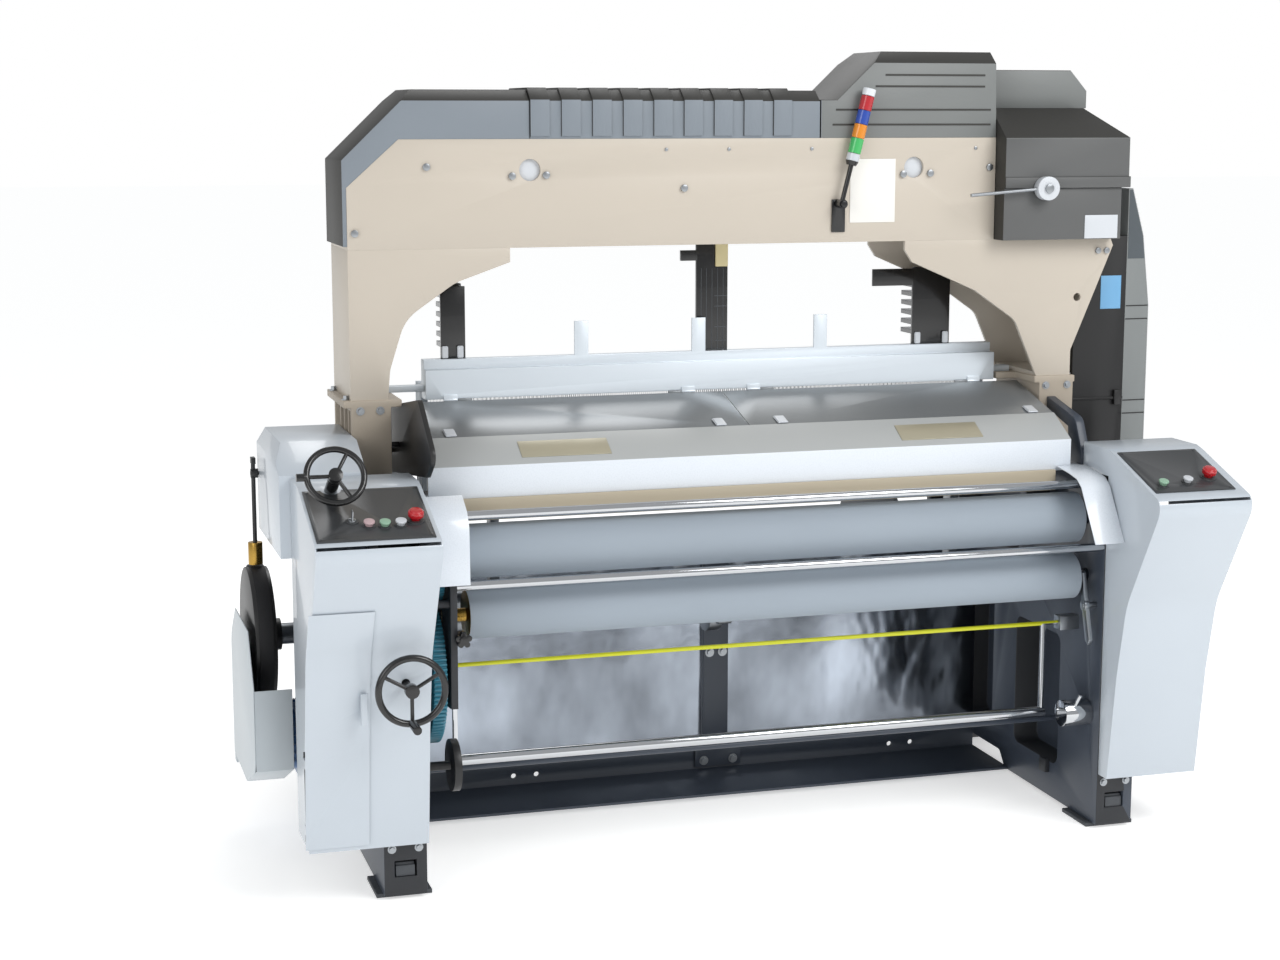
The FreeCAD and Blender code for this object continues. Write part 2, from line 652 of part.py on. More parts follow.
def heald_guides():
    """Three toothed guide blocks that stand on the rail in front of the heald rods."""
    low = s.flange_top + 89
    items = []
    for name, x0, x1, high in (("left", -815, -745, low + 203), ("middle", -60, 35, s.beam_base),
                               ("right", 620, 740, low + 230)):
        back = box(name + "_guide_plate", (x0, x1), (555, 567), (low, high))
        teeth = []
        for step in range(1, 8):
            z = low + 28 * step
            for near, far, deep in comb_fingers(name, x0 + 8, x1 - 8):
                spot = (z, z + 14)
                teeth.append(box(name + "_guide_tooth", (near, far), (567, deep), spot))
        items.append(fuse(name + "_guide", [back] + teeth))
    items.append(box("guide_arm", (490, 622), (555, 563), (low + 176, low + 226)))
    items.append(box("guide_handle", (-108, -58), (553.5, 566), (low + 262, low + 292)))
    return group("heald_guides", items)


def comb_fingers(name, low, high):
    """Fingers of a guide block, one on each side of the rods where rods pass."""
    rods = {"left": -780, "right": 700}
    if name not in rods:
        return [(low, high, 580)]
    middle = rods[name]
    return [(low, middle - 4.5, 662), (middle + 4.5, high, 662)]


def heald_frame(number):
    """One heald frame: two slats, two sides and two flat lifting rods."""
    y = s.heald_y + s.heald_pitch * (number - 1)
    deep = (y, y + s.heald_thick)
    half = s.heald_half
    slat = s.slat_height
    name = f"heald_frame_{number}"
    parts = [box(name + "_top", (-half, half), deep, (s.heald_top - slat, s.heald_top)),
             box(name + "_foot", (-half, half), deep, (s.heald_bottom, s.heald_bottom + slat))]
    for hand in (-1, 1):
        upright = (s.heald_bottom + slat, s.heald_top - slat)
        parts.append(box(name + "_side", side(hand, half - 20, half), deep, upright))
    for x in (-784, 696):
        middle = y + s.heald_thick / 2
        parts.append(box(name + "_rod", (x, x + 8), (middle - 3, middle + 3), (s.heald_top, 1760)))
    return fuse(name, parts)


def lid(label, hand):
    """Sloped lid with two hinge knuckles at its rear edge."""
    y, z = s.lid_front, s.lid_low
    rear_y, rear_z = s.hinge_y - 7, s.hinge_z - 2
    outline = [(y, z - 3), (y, z), (rear_y, rear_z), (rear_y, rear_z - 3)]
    span = side(hand, 1.5, s.lid_half)
    parts = [prism(label + "_sheet", "YZ", outline, span)]
    edge = [(y + 4, z - 12), (y + 4, z - 1), (y + 8, z - 1), (y + 8, z - 12)]
    parts.append(prism(label + "_edge", "YZ", edge, span))
    for near in (120.5, 739.5):
        spot = side(hand, near, near + 40)
        parts.append(rod(label + "_knuckle", "X", (s.hinge_y, s.hinge_z), spot, 4))
        strap = (rear_z - 2, rear_z + 0.5)
        parts.append(box(label + "_strap", spot, (rear_y - 1, s.hinge_y), strap))
    return fuse(label, parts)


def breast_cover():
    """Bent sheet in front of the lids, with a strip behind the guide bar and end brackets."""
    half = s.lid_half
    low = s.frame_top
    outline = [(137, low), (137, low + 89.5), (249, low + 153), (249, low + 150), (140, low + 88),
               (140, low)]
    strip = [(126, low - 55), (126, low + 4), (137, low + 4), (137, low + 1), (129, low + 1),
             (129, low - 55)]
    items = [prism("breast_sheet", "YZ", outline, (-half, half)),
             prism("breast_strip", "YZ", strip, (-869, 888)),
             box("breast_ledge", (-half, half), (140, 151), (low, low + 10))]
    for hand in (-1, 1):
        reach = inner if hand > 0 else size(1010)
        items.append(box("breast_bracket", side(hand, half - 15, reach), (151, 190), (low, low + 10)))
    return group("breast_cover", items)


def guard_arms():
    """Curved slate arm on the right frame and black plate at the left, with its spacers."""
    low = s.frame_top
    arm = [(385, low + 182), (204, low + 140), (154, low + 38), (154, low), (240, low),
           (240, low + 26), (247, low + 110), (385, low + 148)]
    plate = [(600, 1240), (170, 1308), (-20, 1178), (75, 1115), (600, 1050)]
    items = [prism("right_arm", "YZ", arm, (inner, inner + 27), {40: [1, 2]}),
             prism("left_plate", "YZ", plate, (-958, -944), {30: [1, 2]})]
    items += [rod("plate_spacer", "X", spot, (-990, -958), 8) for spot in ((450, 1150), (560, 1120))]
    return group("guard_arms", items)


def corner_covers():
    """White cover over the left gears and bent white sheet at the right corner."""
    top = s.frame_top
    outline = [(-46, 848), (-40, top - 40), (-14, top - 4), (45, top + 30), (45, 848)]
    out = prism("left_corner_out", "YZ", outline, (-inner, -868))
    outline = [(-43, 840), (-37, top - 41), (-12, top - 7), (46, top + 27), (46, 840)]
    core = prism("left_corner_in", "YZ", outline, (-inner + 3, -871))
    left = cut("left_corner", out, [core])
    outline = [(-112, 868), (-18, top - 24), (10, top - 4), (60, top + 6), (133, top + 14),
               (133, top + 11), (60, top + 3), (11, top - 7), (-16, top - 26), (-109, 868)]
    sheet = prism("right_corner_sheet", "YZ", outline, (895, inner - 0.5))
    web = [(-60, 930), (-60, 946), (-16, top - 26), (20, top - 12), (20, 930)]
    tab = prism("right_corner_tab", "YZ", web, (inner - 3, inner))
    return group("corner_covers", [left, fuse("right_corner", [sheet, tab])])


# ---------------------------------------------------------------- consoles

def console_profile(forward, drop):
    """Side outline of a console: curved front, nose, sloped top; open at back and base."""
    rise = slope_rise
    nose = s.nose_reach
    high = s.nose_height
    back = s.console_back
    front = [(-50, 165), (-88, 480), (-130, 690), (-nose, high - 40), (-nose, high)]
    top = [(-nose + 270, high + rise * 270), (-nose + 300, high + 103), (back, high + 103)]
    base = [(back, 165)]
    points = [(y + forward, z - drop) for y, z in front + top]
    if forward:
        return points[:-1] + [(back + 50, high + 103 - drop), (back + 50, 60), (-47, 60)]
    return points + base


CONTROLS = {
    "left_key_switch": (-1194, 116, "key"),
    "left_button_a": (-1156, 91, "button"),
    "left_button_b": (-1117, 87, "button"),
    "left_button_c": (-1077, 88, "button"),
    "left_stop_button": (-1036, 109, "stop"),
    "right_button_a": (1041, 85, "button"),
    "right_button_b": (1121, 94, "button"),
    "right_stop_button": (1198, 117, "stop"),
}
STEM = {"key": 10, "button": 10, "stop": 12}
BEZEL = {"key": 17, "button": 17, "stop": 24}


def console(label, hand, outside):
    """Console shell around the front of a side frame, with holes for the controls."""
    reach = s.console_left_edge if hand < 0 else s.console_right_edge
    span = side(hand, s.console_gap + s.sheet, reach - s.sheet)
    core = prism(label + "_core", "YZ", console_profile(3, 3), span, {250: [1, 2], 60: [3]})
    relief = box(label + "_relief", side(hand, 980, outer), (0, 200), (100, s.frame_top))
    items = [rod(label + "_stem_hole", "Z", (x, along), (-30, 2), 15, True)
             for name, (x, along, kind) in CONTROLS.items() if x * hand > 0]
    holes = tilted(label + "_holes", items, -s.nose_reach, s.nose_height, s.console_tilt.value)
    tools = [core, relief, holes]
    if hand < 0:
        tools.append(rod(label + "_crank_hole", "Y", (-1055, 619), (-220, -20), 11))
    return cut(label, outside, tools)


def console_outside(label, hand):
    """Outer block of a console."""
    reach = s.console_left_edge if hand < 0 else s.console_right_edge
    span = side(hand, s.console_gap, reach)
    return prism(label + "_outside", "YZ", console_profile(0, 0), span, {250: [1, 2], 60: [3], 30: [4]})


def console_panels():
    """Sloped panels with a bezel around every control and a screw at each corner."""
    items = []
    for hand, x0, x1, low in ((-1, -1295, -1000, 22), (1, 1000, 1245, 45)):
        name = "left_panel" if hand < 0 else "right_panel"
        sheet_part = box(name + "_sheet", (x0, x1), (low, 282), (0, 3), True)
        parts = [sheet_part]
        tools = []
        for x, along, kind in [spot for spot in CONTROLS.values() if spot[0] * hand > 0]:
            parts.append(rod(name + "_bezel", "Z", (x, along), (2, 6), BEZEL[kind], True))
            hole = STEM[kind] + 0.4
            tools.append(rod(name + "_hole", "Z", (x, along), (-2, 8), hole, True))
        if hand < 0:
            tools.append(rod(name + "_notch", "Z", (-1222, 286), (-2, 8), 27, True))
        for x in (x0 + 10, x1 - 10):
            for along in (low + 10, 272):
                parts.append(rod(name + "_screw", "Z", (x, along), (2, 4.5), 4, True))
        items.append(cut(name, fuse(name + "_body", parts), tools))
    return tilted("console_panels", items, -s.nose_reach, s.nose_height, s.console_tilt.value)


def control(label):
    """Push button, stop button or key, standing in its bezel."""
    x, along, kind = CONTROLS[label]
    stem = STEM[kind]
    if kind == "key":
        parts = [rod(label + "_barrel", "Z", (x, along), (-10, 9), stem, True),
                 box(label + "_blade", (x - 1.5, x + 1.5), (along - 8, along + 8), (8, 34), True)]
    elif kind == "stop":
        parts = [rod(label + "_stem", "Z", (x, along), (-14, 15), stem, True),
                 rod(label + "_head", "Z", (x, along), (14.5, 28), 20, True),
                 rod(label + "_crown", "Z", (x, along), (28, 32), 16, True)]
    else:
        parts = [rod(label + "_stem", "Z", (x, along), (-12, 12.5), stem, True),
                 rod(label + "_cap", "Z", (x, along), (12, 18), 14, True)]
    body = fuse(label + "_body", parts)
    return tilted(label, [body], -s.nose_reach, s.nose_height, s.console_tilt.value)


def console_door():
    """Curved door on the front of the left console, with two hinge lugs at its left."""
    front = [(-51.6, 178), (-88, 480), (-130, 690), (-209.7, 832)]
    outline = [(y - 2.5, z) for y, z in front] + [(y - 5.5, z) for y, z in front[::-1]]
    sheet_part = prism("door_sheet", "YZ", outline, (-1312, -1147), {250: [1, 2, 5, 6]})
    parts = [sheet_part]
    for z, face in ((220, -62), (400, -82)):
        parts.append(box("door_lug", (-1312, -1303.5), (face - 2, -44), (z, z + 24)))
    hole = rod("door_pin_hole", "Z", (-1308, -48), (170, 500), 2.3)
    latch_hole = rod("latch_hole", "Y", (-1165, 559), (-140, -80), 5.3)
    return cut("console_door", fuse("door_body", parts), [hole, latch_hole])


def door_latch():
    """Quarter-turn latch of the console door."""
    stem = rod("latch_stem", "Y", (-1165, 559), (-121, -106.5), 5)
    grip = box("latch_grip", (-1173, -1157), (-131, -120.5), (517, 601))
    return fuse("door_latch", [stem, grip])


def handwheel_parts(name, radius, tube_radius, spokes):
    """Rim, hub and spokes of a handwheel lying flat around the origin."""
    rim = doc.addObject("Part::Torus", name + "_rim")
    rim.Radius1 = radius
    rim.Radius2 = tube_radius
    parts = [rim, rod(name + "_hub", "Z", (0, 0), (-12, 12), 18, True)]
    for angle in spokes:
        turn = math.radians(angle)
        tip = (radius * math.cos(turn), radius * math.sin(turn), 0)
        parts.append(strut(name + "_spoke", (0, 0, 0), tip, 5, True))
    return parts


def upper_handwheel():
    """Small handwheel over the left console, on an axis tilted upwards."""
    parts = handwheel_parts("upper", 72, 8, (180, 300, 60))
    parts.append(rod("upper_shaft", "Z", (0, 0), (-82, 0), 8, True))
    parts.append(strut("upper_grip", (-72, 0, 0), (-98, 0, 0), 10, True))
    wheel = group("upper_handwheel", [fuse("upper_body", parts)])
    turn = FreeCAD.Rotation(FreeCAD.Vector(1, 0, 0), 60)
    return put(wheel, -1222, -110.4, 1161, rotation=turn)


def front_handwheel():
    """Handwheel in front of the left console with a crank grip and its shaft."""
    parts = handwheel_parts("front", 85, 9, (150, 30, 270))
    parts.append(rod("front_shaft", "Z", (0, 0), (-245, 0), 8, True))
    parts.append(rod("front_grip", "Z", (0, -85), (0, 70), 11, True))
    wheel = group("front_handwheel", [fuse("front_body", parts)])
    turn = FreeCAD.Rotation(FreeCAD.Vector(1, 0, 0), 90)
    return put(wheel, -1055, -200, 619, rotation=turn)


# ---------------------------------------------------------------- take-up

def take_up_roller():
    """Large take-up roller with its gear on the left journal."""
    at = (s.roller_y, s.roller_z)
    roller = stepped("roller_body", "X", at, [(22, -inner - 65, inner + 65),
                                              (s.roller_radius, -870, 950)])
    gear = toothed("roller_gear", at, (-960, -925), s.small_gear_radius, 65, 6, 0)
    return fuse("take_up_roller", [roller, gear])


def press_roller():
    """Roller that presses the cloth from below."""
    at = (s.press_y, s.press_z)
    return stepped("press_roller", "X", at, [(18, -913, inner + 60), (s.press_radius, -850, 940)])


def take_up_gear():
    """Large teal gear on its stud."""
    at = (s.gear_y, s.gear_z)
    return toothed("take_up_gear", at, (-960, -925), s.gear_radius, 96, 7, 20.3)


def guide_bars():
    """Two chrome bars across the front."""
    return group("guide_bars", [
        rod("bar_upper", "X", (80, 1008), (-897, inner), s.bar_radius),
        rod("bar_lower", "X", (13, 834), (-897, inner), 12)])


def swing_bar():
    """Yellow rod with two arms and the lower chrome bar, swinging as one."""
    y, z = s.swing_y, s.swing_z
    low = z - s.swing_drop
    parts = [rod("yellow_rod", "X", (y, z), (-912, 940), 6),
             box("swing_arm_left", (-878, -866), (y - 9, y + 9), (low, z)),
             rod("swing_arm_right", "Z", (880, y), (low, z), 8),
             rod("lower_bar", "X", (y, low), (-866, 888), 15)]
    return fuse("swing_bar", parts)


def release_lever():
    """Flat lever at the right end of the rollers."""
    outline = [(11, 550), (25, 560), (52, 655), (72, 745), (66, 758), (54, 752), (32, 668), (2, 566)]
    plate = prism("lever_plate", "YZ", outline, (945, 957))
    boss = rod("lever_boss", "X", (42, 660), (943, 960), 16)
    hole = rod("lever_stud_hole", "X", (42, 660), (930, 970), 8.3)
    return cut("release_lever", fuse("release_body", [plate, boss]), [hole])


def star_knob():
    """Star knob with its screw."""
    parts = [rod("knob_screw", "Y", (-885, 700), (-16, 19), 5),
             rod("knob_hub", "Y", (-885, 700), (-44, -14.5), 12)]
    for number in range(5):
        turn = math.radians(72 * number + 90)
        spot = (-885 + 14 * math.cos(turn), 700 + 14 * math.sin(turn))
        parts.append(rod("knob_lobe", "Y", spot, (-38, -18), 8))
    return fuse("star_knob", parts)


def cloth_hubs():
    """Two hubs that hold the cloth roll between them."""
    at = (72, 335)
    right = stepped("hub_right", "X", at, [(38, 900, inner - 1), (12, inner - 2, inner + 40)])
    lever = strut("hub_lever", (935, 72, 335), (935, 20, 400), 6)
    left = stepped("hub_left", "X", at, [(70, -905, -885), (12, -inner - 40, -904)])
    return group("cloth_hubs", [fuse("hub_right_body", [right, lever]), left])


def bearing_housings():
    """Bracket plate, studs, gearbox, handwheel post and rear brackets."""
    plate = [(-10, 510), (120, 495), (200, 560), (200, 640), (175, 800), (340, 960), (340, 1035),
             (0, 1035), (-15, 820)]
    body = prism("roller_plate", "YZ", plate, (-915, -897))
    lug = box("knob_lug", (-897, -873), (-12, 20), (688, 712))
    holes = [rod("plate_bore", "X", (s.roller_y, s.roller_z), (-930, -890), 22.3),
             rod("plate_bore", "X", (s.press_y, s.press_z), (-930, -890), 18.3),
             rod("plate_bore", "X", (s.swing_y, s.swing_z), (-930, -890), 6.3),
             rod("knob_bore", "Y", (-885, 700), (-20, 30), 5.6)]
    spacers = [rod("plate_spacer_rod", "X", spot, (-inner, -915), 12)
               for spot in ((318, 995), (270, 1015), (12, 790))]
    left = cut("roller_bracket", fuse("roller_bracket_body", [body, lug] + spacers), holes)
    stud = rod("gear_stud", "X", (s.gear_y, s.gear_z), (-inner, -921), 20)
    block = box("swing_block", (925, inner), (s.swing_y - 20, s.swing_y + 20),
                (s.swing_z - 20, s.swing_z + 20))
    bore = rod("swing_block_bore", "X", (s.swing_y, s.swing_z), (920, 945), 6.3)
    right = cut("swing_bearing", block, [bore])
    lever_stud = rod("release_stud", "X", (42, 660), (941, inner), 8)
    tab = box("corner_tab", (970, inner), (296, 336), (86, 126))
    gearbox = box("take_up_gearbox", (-outer - 80, -outer), (60, 260), (480, 680))
    pin = rod("brake_pin", "X", (590, 1065), (-1353, -1330), 5)
    edge = -s.console_left_edge
    hinge = [rod("door_pin", "Z", (edge - 6, -48), (198, 438), 2),
             box("door_pin_lug", (edge - 9, edge), (-52, -44), (198, 219.5)),
             box("door_pin_lug", (edge - 9, edge), (-52, -44), (424.5, 438))]
    items = [left, stud, right, lever_stud, tab, gearbox, pin, fuse("door_hinge", hinge)]
    for hand in (-1, 1):
        plate = box("warp_bracket_block", side(hand, 990, 1035), (s.frame_rear, s.warp_y + 50),
                    (s.warp_z - 60, s.warp_z + 60))
        bore = rod("warp_bracket_bore", "X", (s.warp_y, s.warp_z), side(hand, 980, 1040), 25.3)
        items.append(cut("warp_bracket", plate, [bore]))
        plate = box("rest_bracket_block", side(hand, inner - 25, inner),
                    (s.rest_y - 60, s.rest_y + 60), (s.rest_z - 200, s.rest_z + 50))
        bore = rod("rest_bracket_bore", "X", (s.rest_y, s.rest_z), side(hand, 950, 990), 18.3)
        items.append(cut("rest_bracket", plate, [bore]))
    return items


def handwheel_post(outside):
    """Tilted bearing tube of the upper handwheel and a round boss, on the console slope."""
    bearing = rod("post_tube", "Z", (0, 0), (-120, -13), 16, True)
    hole = rod("post_bore", "Z", (0, 0), (-75, 0), 8.3, True)
    holder = group("post_flat", [cut("post_bearing", bearing, [hole])])
    turn = FreeCAD.Rotation(FreeCAD.Vector(1, 0, 0), 60)
    put(holder, -1222, -100, 1155, rotation=turn)
    return cut("handwheel_post", holder, [outside])


# ---------------------------------------------------------------- sley, drive and warp

def sley():
    """Rocker shaft with two swords, sley beam, reed and the follower arm."""
    y, z = s.rocker_y, s.rocker_z
    top = z + 360
    parts = [rod("rocker_shaft", "X", (y, z), (-inner - 60, inner + 60), s.rocker_radius),
             box("sley_beam", (-880, 880), (y - 30, y + 30), (top - 50, top)),
             box("reed", (-s.heald_half, s.heald_half), (y - 5, y + 5), (top, top + s.reed_height)),
             strut("follower_arm", (0, y, z), (0, y + 40, z - 105), 14),
             rod("follower", "X", (y + 40, z - 105), (-20, 20), 22)]
    for x in (-700, 700):
        parts.append(box("sword", (x - 12, x + 12), (y - 25, y + 25), (z, top - 50)))
    return fuse("sley", parts)


def main_shaft():
    """Main shaft with its cam and the black wheel outside the left frame."""
    at = (s.shaft_y, s.shaft_z)
    return stepped("main_shaft", "X", at, [
        (s.shaft_radius, -1372, inner + 75), (75, -20, 20), (45, -1312, -1280),
        (s.wheel_radius, -1372, -1312)])


def main_motor():
    """Motor bolted to the outside of the left frame."""
    at = (s.motor_y, s.motor_z)
    parts = [rod("motor_body", "X", at, (-outer - 185, -outer - 15), s.motor_radius),
             rod("motor_flange", "X", at, (-outer - 15, -outer), s.motor_radius + 10),
             box("motor_box", (-outer - 140, -outer - 60), (s.motor_y - 40, s.motor_y + 40),
                 (s.motor_z - 112, s.motor_z - 60))]
    bore = rod("motor_bore", "X", at, (-outer - 190, -outer - 100), 14.3)
    return cut("main_motor", fuse("motor_whole", parts), [bore])


def motor_pulley():
    """Pulley with the motor's shaft."""
    at = (s.motor_y, s.motor_z)
    return stepped("motor_pulley", "X", at, [(s.pulley_radius, -1372, -1312), (14, -1313, -1210)])


def drive_belt():
    """Flat belt around the wheel and the pulley."""
    loops = []
    for extra in (s.play.value, s.play.value + 6):
        loops.append(belt_solid(s.wheel_radius.value + extra, s.pulley_radius.value + extra))
    thing = doc.addObject("Part::Feature", "drive_belt")
    thing.Shape = loops[1].cut(loops[0])
    return put(thing, -1362, s.shaft_y, s.shaft_z)


def belt_solid(big, small):
    """Slab inside a belt line, around the wheel at the origin and the pulley."""
    dy = (s.motor_y - s.shaft_y).value
    dz = (s.motor_z - s.shaft_z).value
    away = math.atan2(dz, dy)
    lean = math.acos((big - small) / math.hypot(dy, dz))

    def spot(y, z, radius, angle):
        return FreeCAD.Vector(0, y + radius * math.cos(angle), z + radius * math.sin(angle))

    first = spot(0, 0, big, away + lean)
    far = spot(0, 0, big, away + math.pi)
    last = spot(0, 0, big, away - lean)
    enter = spot(dy, dz, small, away - lean)
    round_end = spot(dy, dz, small, away)
    leave = spot(dy, dz, small, away + lean)
    edges = [Part.Arc(first, far, last).toShape(), Part.makeLine(last, enter),
             Part.Arc(enter, round_end, leave).toShape(), Part.makeLine(leave, first)]
    return Part.Face(Part.Wire(edges)).extrude(FreeCAD.Vector(40, 0, 0))


def drive_guards():
    """Open belt guard with its bracket, and the drive cover above the wheel."""
    left = -s.guard_reach
    shape = [(300, 290), (520, 200), (830, 200), (830, 560), (700, 660), (400, 660), (300, 520)]
    plate = prism("guard_plate", "YZ", shape, (left, left + 3), {60: [0, 1], 90: [3]})
    trough = [(300, 290), (520, 200), (830, 200), (830, 515), (827, 515), (827, 203),
              (520.6, 203), (303, 292), (303, 515), (300, 515)]
    wall = prism("guard_wall", "YZ", trough, (left + 3, -1290))
    holder = box("guard_holder", (left, -outer), (780, 820), (180, 200))
    guard = group("belt_guard", [plate, wall, holder])
    profile = [(152, 905), (152, 1125), (300, 1190), (620, 1190), (620, 905)]
    shape = [(-1330, 905), (-1330, 1150), (-1305, 1190), (-outer, 1190), (-outer, 905)]
    body = common("drive_cover_out", [prism("drive_profile", "YZ", profile, (-1330, -outer)),
                                      prism("drive_shape", "XZ", shape, (152, 620))])
    profile = [(155, 900), (155, 1123), (301, 1187), (617, 1187), (617, 900)]
    shape = [(-1327, 900), (-1327, 1149), (-1304, 1187), (-outer + 1, 1187), (-outer + 1, 900)]
    core = common("drive_cover_in", [prism("drive_profile_in", "YZ", profile, (-1330, -outer + 1)),
                                     prism("drive_shape_in", "XZ", shape, (152, 620))])
    return group("drive_guards", [guard, cut("drive_cover", body, [core])])


def brake_lever():
    """Thin lever with a fork at its top and a brass cylinder at its foot."""
    parts = [rod("brake_rod", "Z", (-1345, 590), (868, 1095), 6),
             rod("brake_eye", "X", (590, 1065), (-1352, -1332), 13),
             rod("brake_cylinder", "Z", (-1345, 590), (808, 870), 20),
             box("brake_fork", (-1351, -1339), (575, 605), (1093, 1110))]
    hole = rod("brake_hole", "X", (590, 1065), (-1360, -1320), 5.3)
    return cut("brake_lever", fuse("brake_body", parts), [hole])


def warp_beam():
    """Warp beam with its two flanges."""
    at = (s.warp_y, s.warp_z)
    return stepped("warp_beam", "X", at, [
        (25, -1035, 1035), (s.barrel_radius, -850, 850),
        (s.flange_radius, -865, -850), (s.flange_radius, 850, 865)])


def back_rest():
    """Roller over which the warp turns."""
    at = (s.rest_y, s.rest_z)
    return stepped("back_rest", "X", at, [(18, -984, 984), (s.rest_radius, -880, 880)])


# ---------------------------------------------------------------- assembly and export

left_outside = console_outside("console_left", -1)
right_outside = console_outside("console_right", 1)
housings = bearing_housings()
pieces = [
    side_frame("side_frame_left", -1), side_frame("side_frame_right", 1),
    levelling_feet(), stretchers(), guard_sheet(), cast_pedestals(), gantry_legs(),
    gantry_beam(), gantry_fittings(), top_covers(), dobby_box(), rear_casing(),
    blank_plates(), tower_bracket(), signal_lamps(), dobby_lever(), heald_rail(),
    heald_guides(), heald_frame(1), heald_frame(2), heald_frame(3), heald_frame(4),
    lid("lid_left", -1), lid("lid_right", 1), breast_cover(), guard_arms(), corner_covers(),
    console("console_left", -1, left_outside), console("console_right", 1, right_outside),
    console_panels(), console_door(), door_latch(), upper_handwheel(), front_handwheel(),
    take_up_roller(), press_roller(), take_up_gear(), guide_bars(), swing_bar(),
    release_lever(), star_knob(), cloth_hubs(), sley(), main_shaft(), main_motor(),
    motor_pulley(), drive_belt(), drive_guards(), brake_lever(), warp_beam(), back_rest(),
    group("bearing_housings", housings + [handwheel_post(left_outside)]),
] + [control(name) for name in CONTROLS]

doc.recompute()
for thing in doc.Objects:
    if "Invalid" in thing.State or "Error" in thing.State:
        raise RuntimeError(f"{thing.Label} did not rebuild: {thing.State}")
for piece in pieces:
    if piece.Shape.isNull() or not piece.Shape.isValid():
        raise RuntimeError(f"{piece.Label} has no sound shape")
os.makedirs("parts", exist_ok=True)
for piece in pieces:
    piece.Shape.exportStep(f"parts/{piece.Label}.step")
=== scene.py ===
import json
import math

import bmesh
import bpy
from mathutils import Matrix, Vector

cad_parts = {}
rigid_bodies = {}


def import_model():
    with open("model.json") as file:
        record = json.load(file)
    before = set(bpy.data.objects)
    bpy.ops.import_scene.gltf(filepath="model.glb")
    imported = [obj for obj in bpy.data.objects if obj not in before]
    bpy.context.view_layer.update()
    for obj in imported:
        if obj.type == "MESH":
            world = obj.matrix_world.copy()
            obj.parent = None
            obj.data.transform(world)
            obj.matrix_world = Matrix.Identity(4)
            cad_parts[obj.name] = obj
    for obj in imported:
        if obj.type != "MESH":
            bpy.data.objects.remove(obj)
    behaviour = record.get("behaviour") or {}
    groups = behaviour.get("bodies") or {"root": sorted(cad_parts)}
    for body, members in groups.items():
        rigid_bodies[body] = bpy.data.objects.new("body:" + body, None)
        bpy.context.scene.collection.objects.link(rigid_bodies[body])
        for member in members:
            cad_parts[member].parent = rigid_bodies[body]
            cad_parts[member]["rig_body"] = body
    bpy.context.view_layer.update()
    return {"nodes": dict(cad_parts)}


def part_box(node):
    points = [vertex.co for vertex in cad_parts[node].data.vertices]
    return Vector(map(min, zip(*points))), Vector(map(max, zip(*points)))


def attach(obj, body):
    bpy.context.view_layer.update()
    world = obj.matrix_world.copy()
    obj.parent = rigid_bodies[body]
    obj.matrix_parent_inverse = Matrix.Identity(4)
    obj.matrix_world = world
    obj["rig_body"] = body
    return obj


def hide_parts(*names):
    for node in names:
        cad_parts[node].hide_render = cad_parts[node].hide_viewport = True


# A power loom in its finished look, put together in the order of its assembly. Lengths are metres
# in the shared frame: X across the machine, Y from the weaver to the warp side, Z up.

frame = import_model()
nodes = frame["nodes"]

# ------------------------------------------------------------------ side frames
# Two upright side frames, cast in iron and sprayed with slate blue enamel. They carry every shaft
# and roller. Their inner sides get a darker, duller slate as painted shade.

# Places below are in mm from the middle of the frames, the front feet and the floor.
middle_shift = 22.5
front_shift = 725
smooth_angle = math.radians(35)
bevel_angle = math.radians(40)
flat_angle = 0.02
merge_gap = 2e-5


def linear(code):
    """Linear colour of an sRGB hex code."""
    shares = [int(code[i:i + 2], 16) / 255 for i in (1, 3, 5)]
    return [s / 12.92 if s < 0.04045 else ((s + 0.055) / 1.055) ** 2.4 for s in shares] + [1]


def add_node(tree, kind, **values):
    """Adds a node and sets its sockets or properties by name."""
    node = tree.nodes.new(kind)
    for name, value in values.items():
        if name in node.inputs.keys():
            node.inputs[name].default_value = value
        else:
            setattr(node, name, value)
    return node


